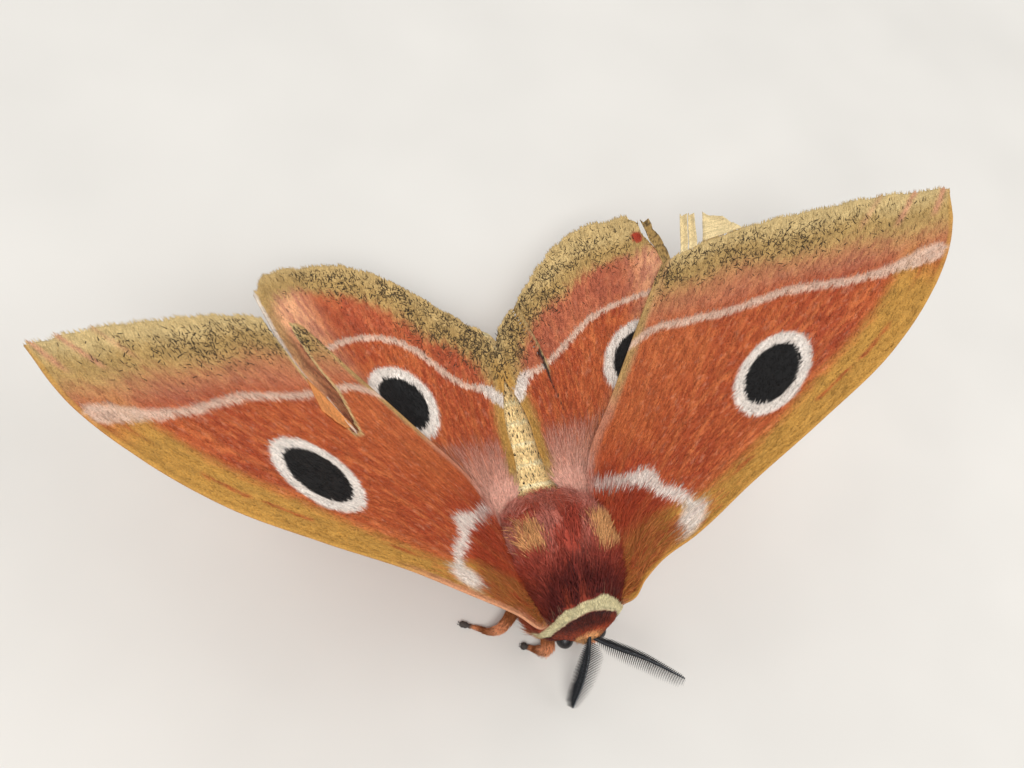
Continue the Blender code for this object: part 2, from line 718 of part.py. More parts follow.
def stand_on_origin(nodes):
    """Move every mesh so that the origin is under the middle of the whole moth."""
    corners = np.array([vertex.co for node in nodes for vertex in node.data.vertices])
    low, high = corners.min(axis=0), corners.max(axis=0)
    shift = np.array([(low[0] + high[0]) / 2.0, (low[1] + high[1]) / 2.0, FLOOR * MM])
    for node in nodes:
        for vertex in node.data.vertices:
            vertex.co = [vertex.co[k] - shift[k] for k in range(3)]


def main():
    clear_scene()
    brick = finish("wing scales", BRICK_RED, 0.75)
    maroon = finish("thorax fur", MAROON, 0.9)
    straw = finish("abdomen fur", STRAW, 0.9)
    cream = finish("collar scales", CREAM, 0.85)
    tan = finish("leg scales", ORANGE_TAN, 0.8)
    soot = finish("feeler black", SOOT, 0.5)
    glossy = finish("eye black", SOOT, 0.15)
    nodes = [make_thorax(maroon), make_abdomen(straw), make_collar(cream), make_head(tan)]
    for side in ("left", "right"):
        nodes += [make_eye(side, glossy), make_feeler(side, soot)]
        nodes += [make_forewing(side, brick), make_hindwing(side, brick)]
        nodes += [make_leg(name, side, tan) for name in LEGS]
    stand_on_origin(nodes)


main()
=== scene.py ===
import math

import bpy
import numpy as np
from mathutils import Matrix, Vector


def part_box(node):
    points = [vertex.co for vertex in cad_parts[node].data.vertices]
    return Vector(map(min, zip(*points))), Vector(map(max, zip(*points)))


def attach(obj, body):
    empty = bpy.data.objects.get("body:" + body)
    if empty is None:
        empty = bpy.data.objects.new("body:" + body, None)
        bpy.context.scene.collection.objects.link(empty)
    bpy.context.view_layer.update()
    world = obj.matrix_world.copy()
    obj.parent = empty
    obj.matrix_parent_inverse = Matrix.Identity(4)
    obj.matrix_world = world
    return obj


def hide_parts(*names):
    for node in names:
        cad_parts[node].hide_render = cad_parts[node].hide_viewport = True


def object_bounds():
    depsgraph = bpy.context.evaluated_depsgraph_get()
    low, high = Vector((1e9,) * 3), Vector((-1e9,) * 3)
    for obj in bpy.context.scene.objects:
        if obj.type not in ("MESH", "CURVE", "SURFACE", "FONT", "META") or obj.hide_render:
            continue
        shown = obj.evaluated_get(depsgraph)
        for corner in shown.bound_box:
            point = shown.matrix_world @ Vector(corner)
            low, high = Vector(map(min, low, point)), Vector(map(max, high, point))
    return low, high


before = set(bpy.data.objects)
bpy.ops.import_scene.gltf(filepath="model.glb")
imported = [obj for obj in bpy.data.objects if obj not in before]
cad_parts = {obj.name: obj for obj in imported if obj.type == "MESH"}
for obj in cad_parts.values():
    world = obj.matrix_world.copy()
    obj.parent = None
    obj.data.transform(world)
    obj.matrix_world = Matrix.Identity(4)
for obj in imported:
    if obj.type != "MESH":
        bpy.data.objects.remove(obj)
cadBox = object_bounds()

# Lengths are millimetres in the moth's own frame: X to its left, Y to its rear, Z up, zero between
# the roots of the forewings. shiftToScene carries them to the CAD's frame, from the thorax and floor.
mm = 0.001
footLevel = -13.4
thoraxFront = 0.05
thoraxLow, thoraxHigh = (np.array(corner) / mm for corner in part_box("thorax"))
cadLow, cadHigh = (np.array(corner) / mm for corner in cadBox)
shiftToScene = np.array([
    (thoraxLow[0] + thoraxHigh[0]) / 2,
    thoraxLow[1] - thoraxFront,
    cadLow[2] - footLevel,
])
sides = {"left": 1, "right": -1}
dice = np.random.default_rng(1869)
# share of the bake map's width for one side of a sheet, and how far a tuft spreads on the map
halfMap = 0.48
bakeSpread = 0.0015


# Small maths, all on whole arrays

def smoothCurve(points, share):
    # cubic through the points, its slopes from the neighbours, read at shares of its length
    points = np.asarray(points, float)
    steps = np.linalg.norm(np.diff(points, axis=0), axis=1)
    knots = np.concatenate([[0.0], np.cumsum(steps)])
    slopes = np.gradient(points, knots, axis=0)
    at = np.asarray(share, float) * knots[-1]
    span = np.clip(np.searchsorted(knots, at, side="right") - 1, 0, len(steps) - 1)
    length = steps[span][..., None]
    t = (at - knots[span])[..., None] / length
    start, end = points[span], points[span + 1]
    startSlope, endSlope = slopes[span] * length, slopes[span + 1] * length
    return (
        start * (2 * t**3 - 3 * t**2 + 1)
        + startSlope * (t**3 - 2 * t**2 + t)
        + end * (3 * t**2 - 2 * t**3)
        + endSlope * (t**3 - t**2)
    )


def ease(low, high, x):
    # 0 below low, 1 above high, 3x^2 - 2x^3 between
    t = np.clip((x - low) / (high - low), 0.0, 1.0)
    return t * t * (3 - 2 * t)


def bump(x, width):
    # bell curve of height 1
    return np.exp(-((x / width) ** 2))


def lattice(ix, iy, seed):
    value = np.sin(ix * 127.1 + iy * 311.7 + seed * 74.7) * 43758.5453
    return value - np.floor(value)


def grain(x, y, seed):
    # random values at whole numbers, blended smoothly between them, from 0 to 1
    x0, y0 = np.floor(x), np.floor(y)
    fx, fy = x - x0, y - y0
    fx, fy = fx * fx * (3 - 2 * fx), fy * fy * (3 - 2 * fy)
    top = lattice(x0, y0, seed) * (1 - fx) + lattice(x0 + 1, y0, seed) * fx
    bottom = lattice(x0, y0 + 1, seed) * (1 - fx) + lattice(x0 + 1, y0 + 1, seed) * fx
    return top * (1 - fy) + bottom * fy


def srgb(red, green, blue):
    c = np.array([red, green, blue]) / 255.0
    return np.where(c <= 0.04045, c / 12.92, ((c + 0.055) / 1.055) ** 2.4)


def blend(first, second, share):
    share = np.asarray(share)[..., None]
    return first * (1 - share) + second * share


def paint(ground, palette, *layers):
    # lays each colour, a name or its values, over the ground in turn by its share at each point
    for colour, share in layers:
        ground = blend(ground, palette[colour] if isinstance(colour, str) else colour, share)
    return ground


def unit(vectors):
    return vectors / np.maximum(np.linalg.norm(vectors, axis=-1, keepdims=True), 1e-12)


def laidOn(heading, normal):
    # unit vector of the part of a direction that runs along the surface
    return unit(heading - normal * np.einsum("ij,ij->i", heading, normal)[:, None])


def lineDistance(points, line):
    # signed distance to a polyline (positive on its left), and the share of its length there
    line = np.asarray(line)
    best = np.full(points.shape[:-1], 1e9)
    signed = np.zeros_like(best)
    place = np.zeros_like(best)
    steps = np.linalg.norm(np.diff(line, axis=0), axis=1)
    walked = np.concatenate([[0.0], np.cumsum(steps)])
    for k in range(len(line) - 1):
        along = line[k + 1] - line[k]
        offset = points - line[k]
        t = np.clip((offset @ along) / steps[k] ** 2, 0.0, 1.0)
        gap = offset - t[..., None] * along
        distance = np.hypot(gap[..., 0], gap[..., 1])
        side = np.sign(along[0] * offset[..., 1] - along[1] * offset[..., 0])
        nearer = distance < best
        best = np.where(nearer, distance, best)
        signed = np.where(nearer, distance * side, signed)
        place = np.where(nearer, (walked[k] + t * steps[k]) / walked[-1], place)
    return signed, place


def turned(first, second, angle):
    # two directions at right angles, turned in their own plane
    cosine, sine = math.cos(angle), math.sin(angle)
    return first * cosine + second * sine, second * cosine - first * sine


def nearLine(places, line, stops):
    # distance to the smooth curve through a line's points
    return np.abs(lineDistance(places, smoothCurve(line, np.linspace(0, 1, stops)))[0])


def insideOf(points, outline):
    # even number of crossings to the right means outside
    outline = np.asarray(outline)
    inside = np.zeros(points.shape[:-1], bool)
    for (x0, y0), (x1, y1) in zip(outline, np.roll(outline, -1, axis=0)):
        spans = (y0 > points[..., 1]) != (y1 > points[..., 1])
        slope = (x1 - x0) / (y1 - y0 + 1e-12)
        inside ^= spans & (points[..., 0] < x0 + slope * (points[..., 1] - y0))
    return inside


# Mesh making

def makePiece(name, points, faces, material, tint, bakeMap=None):
    mesh = bpy.data.meshes.new(name)
    corners = np.concatenate([f.ravel() for f in faces]).astype(np.int32)
    sizes = np.concatenate([np.full(len(f), f.shape[1]) for f in faces])
    starts = np.concatenate([[0], np.cumsum(sizes)[:-1]]).astype(np.int32)
    mesh.vertices.add(len(points))
    mesh.vertices.foreach_set("co", ((points + shiftToScene) * mm).astype(np.float32).ravel())
    mesh.loops.add(len(corners))
    mesh.loops.foreach_set("vertex_index", corners)
    mesh.polygons.add(len(sizes))
    mesh.polygons.foreach_set("loop_start", starts)
    mesh.update(calc_edges=True)
    colour = np.concatenate([tint, np.ones((len(tint), 1))], axis=1).astype(np.float32)
    mesh.attributes.new("tint", "FLOAT_COLOR", "POINT").data.foreach_set("color", colour.ravel())
    if bakeMap is not None:
        layer = mesh.uv_layers.new(name="OFBake")
        layer.data.foreach_set("uv", bakeMap[corners].astype(np.float32).ravel())
    mesh.polygons.foreach_set("use_smooth", np.ones(len(sizes), bool))
    mesh.materials.append(material)
    piece = bpy.data.objects.new(name, mesh)
    bpy.context.scene.collection.objects.link(piece)
    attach(piece, "root")
    return piece


def gridQuads(rows, columns):
    index = np.arange(rows * columns).reshape(rows, columns)
    return np.stack([index[:-1, :-1], index[:-1, 1:], index[1:, 1:], index[1:, :-1]], axis=-1).reshape(-1, 4)


def bakeAt(u, v):
    # places on the bake map, a hundredth clear of its border
    return np.stack([u, v], axis=-1) * 0.98 + 0.01


def ringBake(around, share):
    # bake places of a ring surface: round it and along it, then its two ends
    u, v = np.meshgrid(np.arange(around) / around, share)
    return bakeAt(np.append(u, (0.5, 0.5)), np.append(v, (0.0, 1.0)))


def sheetBake(u, v, used):
    # bake places of a sheet, u up to halfMap: its upper side on the left of the map, its lower on the right
    upper = bakeAt(u.ravel(), v.ravel())
    return np.concatenate([upper, upper + (0.5, 0.0)])[used]


def sheet(middle, half, keep):
    # closed sheet about a grid: points stand off the middle by half the thickness along its normal
    rows, columns = middle.shape[:2]
    normal = unit(np.cross(np.gradient(middle, axis=1), np.gradient(middle, axis=0)))
    normal *= np.sign(normal[..., 2:3])
    upper = (middle + normal * half[..., None]).reshape(-1, 3)
    lower = (middle - normal * half[..., None]).reshape(-1, 3)
    quads = gridQuads(rows, columns)[keep.ravel()]
    first, second, third = (middle.reshape(-1, 3)[quads[:, k]] for k in range(3))
    if np.cross(second - first, third - second)[:, 2].mean() < 0:
        quads = quads[:, ::-1]
    count = rows * columns
    edges = np.concatenate([quads[:, [k, (k + 1) % 4]] for k in range(4)])
    forward = edges[:, 0] * count + edges[:, 1]
    backward = edges[:, 1] * count + edges[:, 0]
    rim = edges[~np.isin(forward, backward)]
    wall = np.stack([rim[:, 1], rim[:, 0], rim[:, 0] + count, rim[:, 1] + count], axis=-1)
    faces = np.concatenate([quads, quads[:, ::-1] + count, wall])
    used, compact = np.unique(faces, return_inverse=True)
    return np.concatenate([upper, lower])[used], compact.reshape(-1, 4), used, normal


def readGrid(grid, row, column):
    # straight blend between the four grid values about a fractional row and column
    r0 = np.minimum(row.astype(int), grid.shape[0] - 2)
    c0 = np.minimum(column.astype(int), grid.shape[1] - 2)
    fr, fc = (row - r0)[:, None], (column - c0)[:, None]
    return (
        (grid[r0, c0] * (1 - fc) + grid[r0, c0 + 1] * fc) * (1 - fr)
        + (grid[r0 + 1, c0] * (1 - fc) + grid[r0 + 1, c0 + 1] * fc) * fr
    )


def tube(path, across, up, radius, around):
    # rings of cos, sin about each point of a path
    angle = np.arange(around) / around * 2 * math.pi
    rings = (
        path[:, None]
        + np.cos(angle)[None, :, None] * (across * radius[:, None])[:, None]
        + np.sin(angle)[None, :, None] * (up * radius[:, None])[:, None]
    )
    return ringSurface(rings)


def ringSurface(rings):
    # closed surface through rings of points, each end closed by a fan to its middle
    rows, count = rings.shape[:2]
    index = np.arange(rows * count).reshape(rows, count)
    beside = np.roll(index, -1, axis=1)
    walls = np.stack([index[:-1], beside[:-1], beside[1:], index[1:]], axis=-1).reshape(-1, 4)
    ends = rings[[0, -1]].mean(axis=1)
    first, last = rows * count, rows * count + 1
    startFan = np.stack([beside[0], index[0], np.full(count, first)], axis=-1)
    endFan = np.stack([index[-1], beside[-1], np.full(count, last)], axis=-1)
    points = np.concatenate([rings.reshape(-1, 3), ends])
    fans = np.concatenate([startFan, endFan])
    a, b, c = (points[walls[:, k]] for k in range(3))
    outward = np.einsum("ij,ij->i", np.cross(b - a, c - b), (a + c) / 2 - points[:-2].mean(axis=0)).sum()
    if outward < 0:
        walls, fans = walls[:, ::-1], fans[:, ::-1]
    return points, [walls, fans]


def pathFrames(path):
    along = unit(np.gradient(path, axis=0))
    across = unit(np.cross(along, (0.0, 0.0, 1.0)))
    return along, across, np.cross(across, along)


def growTufts(name, material, roots, normals, lies, length, width, tints, places, tuft):
    # each tuft: a three-sided blade whose rings climb lie * s + normal * (lift s - bend s^2)
    most = tuft["perPiece"]
    for part in range(math.ceil(len(roots) / most)):
        cut = slice(part * most, (part + 1) * most)
        root, normal, lie = roots[cut], normals[cut], lies[cut]
        reach, half, tint, place = length[cut], width[cut], tints[cut], places[cut]
        across = unit(np.cross(lie, normal))
        shares = np.array(tuft["rings"])
        points, shades, bakes = [], [], []
        for share in shares:
            rise = tuft["lift"] * share - tuft["bend"] * share**2 - tuft["sunk"]
            spine = root + lie * (reach * share)[:, None] + normal * (reach * rise)[:, None]
            taper = (1 - share) ** tuft["taper"]
            for sideways, over in ((-1, 0), (1, 0), (0, 1)):
                offset = across * (sideways * half * taper)[:, None]
                offset = offset + normal * (over * half * taper * tuft["thick"])[:, None]
                points.append(spine + offset)
                # each ring's colour: the tint darkened towards the root as painted shade among the tufts, and
                # lightened towards the tip as painted light
                shades.append(tint * (tuft["rootPaintedShade"] * (1 - share) + tuft["tipPaintedLight"] * share))
                bakes.append(place + bakeSpread * np.array([sideways, share * 2 - 1 + 0.2 * over]))
        rise = tuft["lift"] - tuft["bend"] - tuft["sunk"]
        points.append(root + lie * reach[:, None] + normal * (reach * rise)[:, None])
        shades.append(tint * tuft["tipPaintedLight"])
        bakes.append(place + bakeSpread * np.array([0.0, 1.0]))
        perTuft = len(points)
        start = np.arange(len(root))[:, None] * perTuft
        quads, triangles = [], [start + np.array([[0, 1, 2]])]
        for ring in range(len(shares) - 1):
            for k in range(3):
                a, b = ring * 3 + k, ring * 3 + (k + 1) % 3
                quads.append(start + np.array([[a, a + 3, b + 3, b]]))
        top = (len(shares) - 1) * 3
        for k in range(3):
            triangles.append(start + np.array([[top + k, perTuft - 1, top + (k + 1) % 3]]))
        piece = makePiece(
            f"{name}_{part + 1}", np.stack(points, axis=1).reshape(-1, 3),
            [np.concatenate(quads), np.concatenate(triangles)], material,
            tint=np.clip(np.stack(shades, axis=1).reshape(-1, 3), 0, 1),
            bakeMap=np.stack(bakes, axis=1).reshape(-1, 2),
        )
    print(name, len(roots), "tufts")


# Materials

class NodeBench:
    # short calls for the nodes that a material is wired from
    def __init__(self, name):
        self.material = bpy.data.materials.new(name)
        self.material.use_nodes = True
        self.tree = self.material.node_tree
        self.shader = self.tree.nodes["Principled BSDF"]

    def node(self, kind, **values):
        made = self.tree.nodes.new(kind)
        for key, value in values.items():
            setattr(made, key, value)
        return made

    def link(self, source, target):
        self.tree.links.new(source, target)

    def coordinates(self):
        return self.node("ShaderNodeTexCoord").outputs["Object"]

    def attribute(self, name):
        return self.node("ShaderNodeAttribute", attribute_name=name).outputs["Color"]

    def noise(self, vector, scale, detail=2.0):
        node = self.node("ShaderNodeTexNoise")
        node.inputs["Scale"].default_value = scale
        node.inputs["Detail"].default_value = detail
        self.link(vector, node.inputs["Vector"])
        return node.outputs["Fac"]

    def range(self, value, fromLow, fromHigh, toLow, toHigh):
        node = self.node("ShaderNodeMapRange")
        self.link(value, node.inputs["Value"])
        ends = {"From Min": fromLow, "From Max": fromHigh, "To Min": toLow, "To Max": toHigh}
        for key, number in ends.items():
            node.inputs[key].default_value = number
        return node.outputs["Result"]

    def scale(self, colour, factor):
        node = self.node("ShaderNodeVectorMath", operation="SCALE")
        self.link(colour, node.inputs[0])
        self.link(factor, node.inputs["Scale"])
        return node.outputs["Vector"]

    def bump(self, height, distance):
        node = self.node("ShaderNodeBump")
        node.inputs["Distance"].default_value = distance
        self.link(height, node.inputs["Height"])
        return node.outputs["Normal"]

    def finish(self, roughness, coat=0.0, specular=0.5):
        self.shader.inputs["Roughness"].default_value = roughness
        self.shader.inputs["Coat Weight"].default_value = coat
        self.shader.inputs["Specular IOR Level"].default_value = specular
        return self.material


def coatMaterial(name, grainSize, contrast, bumpHeight, roughness):
    # colour = tint at each point * fine noise; the same noise raises the surface
    bench = NodeBench(name)
    fine = bench.noise(bench.coordinates(), 1 / (grainSize * mm), detail=3.0)
    shade = bench.range(fine, 0.3, 0.7, 1 - contrast, 1 + contrast)
    bench.link(bench.scale(bench.attribute("tint"), shade), bench.shader.inputs["Base Color"])
    if bumpHeight:
        bench.link(bench.bump(fine, bumpHeight * mm), bench.shader.inputs["Normal"])
    return bench.finish(roughness, specular=0.3)


wingScales = coatMaterial("wingScales", grainSize=0.16, contrast=0.22, bumpHeight=0.12, roughness=0.65)
wingHair = coatMaterial("wingHair", grainSize=0.25, contrast=0.12, bumpHeight=0.0, roughness=0.55)
bodySkin = coatMaterial("bodySkin", grainSize=0.2, contrast=0.2, bumpHeight=0.1, roughness=0.8)
bodyFur = coatMaterial("bodyFur", grainSize=0.3, contrast=0.15, bumpHeight=0.0, roughness=0.65)
print("materials ready")


# Camera, floor and lights

view = {
    "place": (-32.9, -14.99, 99.14),
    "forward": (0.2888, 0.3663, -0.8845),
    "roll": 23.65,
    "lens": 34.59,
    "sensor": 36.0,
}


def makeCamera():
    forward = unit(np.array(view["forward"]))
    right = unit(np.cross(forward, (0.0, 0.0, 1.0)))
    up = np.cross(right, forward)
    right, up = turned(right, up, math.radians(view["roll"]))
    data = bpy.data.cameras.new("camera")
    data.sensor_width = view["sensor"]
    data.lens = view["lens"]
    data.clip_start = 0.001
    camera = bpy.data.objects.new("camera", data)
    place = (np.array(view["place"]) + shiftToScene) * mm
    columns = np.stack([right, up, -forward, place], axis=1)
    camera.matrix_world = Matrix(columns.tolist() + [[0.0, 0.0, 0.0, 1.0]])
    bpy.context.scene.collection.objects.link(camera)
    bpy.context.scene.camera = camera


studio = {
    "floorSize": 3.0,
    "floorPoints": 5,
    "floorColour": srgb(214, 210, 203),
    "background": (0.8, 0.82, 0.85),
    "backgroundStrength": 0.55,
    # name: (place in metres, size in metres, watts)
    "lights": {
        "key": ((-0.16, -0.24, 0.5), 0.3, 2.3),
        "fill": ((0.45, -0.1, 0.4), 0.5, 1.2),
        "rear": ((0.0, 0.5, 0.42), 0.5, 1.1),
    },
}


def makeStudio():
    count = studio["floorPoints"]
    share = np.linspace(-0.5, 0.5, count) * studio["floorSize"]
    x, y = np.meshgrid(share, share)
    points = np.stack([x, y, np.zeros_like(x)], axis=-1).reshape(-1, 3)
    quads = gridQuads(count, count)
    mesh = bpy.data.meshes.new("floor")
    mesh.from_pydata(points.tolist(), [], quads.tolist())
    bench = NodeBench("floorPaper")
    soft = bench.noise(bench.coordinates(), 40.0)
    shade = bench.range(soft, 0.3, 0.7, 0.97, 1.03)
    paper = bench.node("ShaderNodeRGB")
    paper.outputs[0].default_value = (*studio["floorColour"], 1.0)
    bench.link(bench.scale(paper.outputs[0], shade), bench.shader.inputs["Base Color"])
    mesh.materials.append(bench.finish(0.9, specular=0.2))
    floor = bpy.data.objects.new("floor", mesh)
    bpy.context.scene.collection.objects.link(floor)
    world = bpy.data.worlds.new("studio")
    world.use_nodes = True
    background = world.node_tree.nodes["Background"]
    background.inputs["Color"].default_value = (*studio["background"], 1.0)
    background.inputs["Strength"].default_value = studio["backgroundStrength"]
    bpy.context.scene.world = world
    for name, (place, size, watts) in studio["lights"].items():
        data = bpy.data.lights.new(name, "AREA")
        data.size = size
        data.energy = watts
        light = bpy.data.objects.new(name, data)
        aim = unit(np.array([0.0, 0.0, 0.01]) - np.array(place))
        across = unit(np.cross(aim, (0.0, 1.0, 0.0)))
        columns = np.stack([across, np.cross(across, aim), -aim, place], axis=1)
        light.matrix_world = Matrix(columns.tolist() + [[0.0, 0.0, 0.0, 1.0]])
        bpy.context.scene.collection.objects.link(light)
    bpy.context.scene.view_settings.view_transform = "Standard"


makeCamera()
makeStudio()
print("camera, floor and lights ready")


# Shape of the body under its coat, one row of (y, half width, top, bottom, middle x, boxiness)

body = {
    "stations": [
        (-2.8, 0.5, -4.8, -5.4, 0.7, 2.2),
        (-2.6, 1.3, -4.4, -6.1, 0.7, 2.3),
        (-2.2, 2.1, -3.9, -7.2, 0.55, 2.3),
        (-1.8, 3.0, -3.3, -7.9, 0.35, 2.4),
        (-1.3, 4.2, -2.3, -8.4, 0.15, 2.6),
        (-0.7, 4.9, -1.7, -8.9, 0.05, 2.8),
        (0.2, 5.1, -1.2, -9.3, 0.0, 3.0),
        (1.8, 5.5, -0.5, -10.0, 0.0, 3.3),
        (4.5, 5.8, 0.2, -10.4, 0.0, 3.4),
        (8.0, 5.8, 0.0, -10.4, 0.0, 3.4),
        (11.0, 5.2, -1.5, -10.2, 0.0, 3.2),
        (13.3, 4.2, -3.7, -9.7, 0.0, 2.8),
        (14.6, 3.3, -5.2, -10.6, 0.0, 2.4),
        (15.6, 3.2, -5.6, -11.7, 0.0, 2.3),
        (19.0, 3.6, -5.5, -12.3, 0.0, 2.2),
        (24.0, 3.6, -5.1, -12.3, 0.0, 2.2),
        (29.0, 3.3, -5.0, -11.9, 0.0, 2.2),
        (33.5, 2.5, -5.6, -11.3, 0.0, 2.2),
        (36.3, 1.3, -6.8, -10.4, 0.0, 2.2),
        (37.3, 0.3, -8.0, -9.4, 0.0, 2.2),
    ],
    "abdomenFrom": 15.6,
    "abdomenTo": 33.5,
    "segments": 7,
    "step": 0.22,
    "softness": 0.5,
    "spacing": 0.1,
    "rows": 260,
    "around": 120,
}


def bodyTable():
    # the stations read at an even spacing, then averaged over the softness either way
    stations = np.array(body["stations"])
    y = np.arange(stations[0, 0], stations[-1, 0], body["spacing"])
    rows = np.stack([np.interp(y, stations[:, 0], stations[:, k]) for k in range(6)], axis=-1)
    reach = round(body["softness"] / body["spacing"])
    padded = np.concatenate([np.repeat(rows[:1], reach, axis=0), rows, np.repeat(rows[-1:], reach, axis=0)])
    soft = np.mean([padded[k:k + len(rows)] for k in range(2 * reach + 1)], axis=0)
    share = np.minimum(np.arange(len(rows)), np.arange(len(rows))[::-1])[:, None] / reach
    return rows + (soft - rows) * np.clip(share, 0.0, 1.0)


bodyRows = bodyTable()
bodyLength = bodyRows[-1, 0] - bodyRows[0, 0]


def abdomenRing(y):
    # how many segments behind the front of the abdomen
    return (y - body["abdomenFrom"]) / (body["abdomenTo"] - body["abdomenFrom"]) * body["segments"]


def bodySurface(turn, place):
    # rounded box: x = w sign(cos) |cos|^(2/n), z likewise, w, top, bottom and n read along the body
    y = bodyRows[0, 0] + place * bodyLength
    halfWidth, top, bottom, middle, boxiness = (
        np.interp(y, bodyRows[:, 0], bodyRows[:, k]) for k in range(1, 6)
    )
    ring = abdomenRing(y)
    swell = np.where((ring > 0) & (ring < body["segments"]), body["step"] * (ring % 1.0 - 0.5), 0.0)
    cosine, sine = np.cos(turn * 2 * math.pi), np.sin(turn * 2 * math.pi)
    x = middle + (halfWidth + swell) * np.sign(cosine) * np.abs(cosine) ** (2 / boxiness)
    z = (top + bottom) / 2 + ((top - bottom) / 2 + swell) * np.sign(sine) * np.abs(sine) ** (2 / boxiness)
    return np.stack(np.broadcast_arrays(x, y, z), axis=-1)


def bodyFrame(turn, place):
    # point and outward normal, by small steps of the two parameters
    step = 0.004
    point = bodySurface(turn, place)
    around = bodySurface(turn + step, place) - bodySurface(turn - step, place)
    rearward = bodySurface(turn, np.minimum(place + step, 1)) - bodySurface(turn, np.maximum(place - step, 0))
    normal = unit(np.cross(rearward, around))
    return point, normal


bodyColours = {
    "thoraxFront": srgb(90, 24, 18), "thoraxMid": srgb(178, 72, 52), "thoraxRear": srgb(192, 92, 68),
    # pale and edge: the abdomen's own pale rings, set lighter as painted light where the wings shade it
    "mauve": srgb(212, 140, 122), "tan": srgb(226, 166, 108), "pale": srgb(246, 212, 150),
    "dusk": srgb(62, 46, 30), "edge": srgb(252, 234, 184), "cream": srgb(224, 210, 164),
    "maroon": srgb(84, 22, 20), "face": srgb(190, 112, 54), "under": srgb(150, 78, 42),
    "ember": srgb(172, 70, 36), "brow": srgb(84, 28, 16),
}
# middle x and y of the two tan tufts, with their half widths
tanTufts = {"left": (4.2, 6.2, 1.2), "right": (-3.3, 7.6, 1.0), "halfLength": 1.9}
# front and rear edge of the cream collar: y at each x
collarEdge = {
    "x": (-5.2, -3.5, -1.5, 0.2, 1.8, 3.6, 4.8, 5.3),
    "front": (-2.0, -1.35, -0.8, -0.48, -0.6, -1.0, -1.55, -1.9),
    "rear": (-1.3, -0.45, 0.22, 0.4, 0.72, 0.12, -0.95, -1.4),
}


def collarEdges(x):
    front, rear = (np.interp(x, collarEdge["x"], collarEdge[key]) for key in ("front", "rear"))
    return front, rear + 0.12 * np.cos(x * 2.6)


def rumpEdge(x):
    # where the thorax fur ends over the abdomen, with a tongue near the middle
    return 13.4 + 0.9 * bump(x - 0.3, 1.0) - 0.03 * x**2


def bodyTint(points):
    # the markings in turn, from the thorax back over the abdomen, then the collar and the face
    x, y, z = points[..., 0], points[..., 1], points[..., 2]
    palette, wide = bodyColours, np.abs(x)
    fibre = grain(x / 0.25, y / 1.4, 11)
    cloud = grain(x / 1.6 + 0.3, y / 2.2, 12)
    patch = grain(x / 0.9, y / 2.6, 13)
    rough = (fibre - 0.5) * 1.2
    tongue = bump(x - 0.3, 0.9)
    ground = blend(palette["thoraxFront"], palette["thoraxMid"], ease(2.0, 8.0, y + rough * 2 + wide * 0.5))
    tint = paint(
        ground, palette,
        ("ember", ease(0.5, 0.8, patch) * 0.4 * ease(11.0, 7.0, y) * ease(3.5, -1.0, x)),
        ("ember", ease(3.2, 5.0, wide) * ease(5.5, 2.0, y + rough) * 0.6),
        ("thoraxRear", ease(9.0, 12.0, y + rough * 2) * 0.8),
        ("mauve", ease(11.0, 12.8, y + rough * 1.5) * (1 - 0.85 * tongue) * 0.75),
        ("mauve", ease(0.4, 0.75, cloud) * ease(3.0, 9.0, y) * 0.65),
        ("mauve", ease(0.7, 1.0, fibre) * 0.4 * ease(1.0, 7.0, y)),
        ("mauve", ease(3.4, 4.8, wide) * ease(9.0, 11.0, y) * 0.8),
        ("mauve", ease(4.2, 4.8, wide) * ease(4.0, 6.5, y + rough) * 0.75),
    )
    for side in sides:
        middleX, middleY, halfWidth = tanTufts[side]
        tan = ((x - middleX) / halfWidth) ** 4 + ((y - middleY + rough) / tanTufts["halfLength"]) ** 4
        tint = blend(tint, palette["tan"], ease(1.5, 0.7, tan) * ease(-4.5, -2.5, z))
    # the abdomen's pale rings, lightened as painted light against the wings' shade
    belly = blend(palette["pale"], palette["edge"], ease(0.72, 0.95, abdomenRing(y) % 1.0))
    belly = blend(belly, palette["tan"], ease(-8.0, -11.0, z) * 0.5)
    front, rear = collarEdges(x)
    lowest = ease(-2.1, -2.5, y + rough * 0.3) + ease(-6.0, -6.8, z) * ease(0.0, -1.0, y)
    return paint(
        tint, palette,
        ("under", ease(-4.5, -8.0, z) * 0.7),
        (belly, ease(0.0, 0.6, y + rough * 0.4 - rumpEdge(x))),
        ("cream", ease(rear + 0.1, rear - 0.1, y) * ease(-9.0, -6.0, z)),
        ("maroon", ease(front + 0.15, front - 0.15, y + rough * 0.2)),
        ("face", np.minimum(lowest, 1.0)),
        ("tan", ease(-1.7, -2.1, y + rough * 0.3) * bump(x - 0.9, 1.3) * 0.8),
    )


def makeBodySkin():
    turn = np.arange(body["around"]) / body["around"]
    place = np.linspace(0.0, 1.0, body["rows"])
    points, faces = ringSurface(bodySurface(turn[None, :], place[:, None]))
    skin = makePiece("body", points, faces, bodySkin, bodyTint(points), ringBake(body["around"], place))
    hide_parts("head", "thorax", "abdomen", "collar")


makeBodySkin()
print("body skin ready")
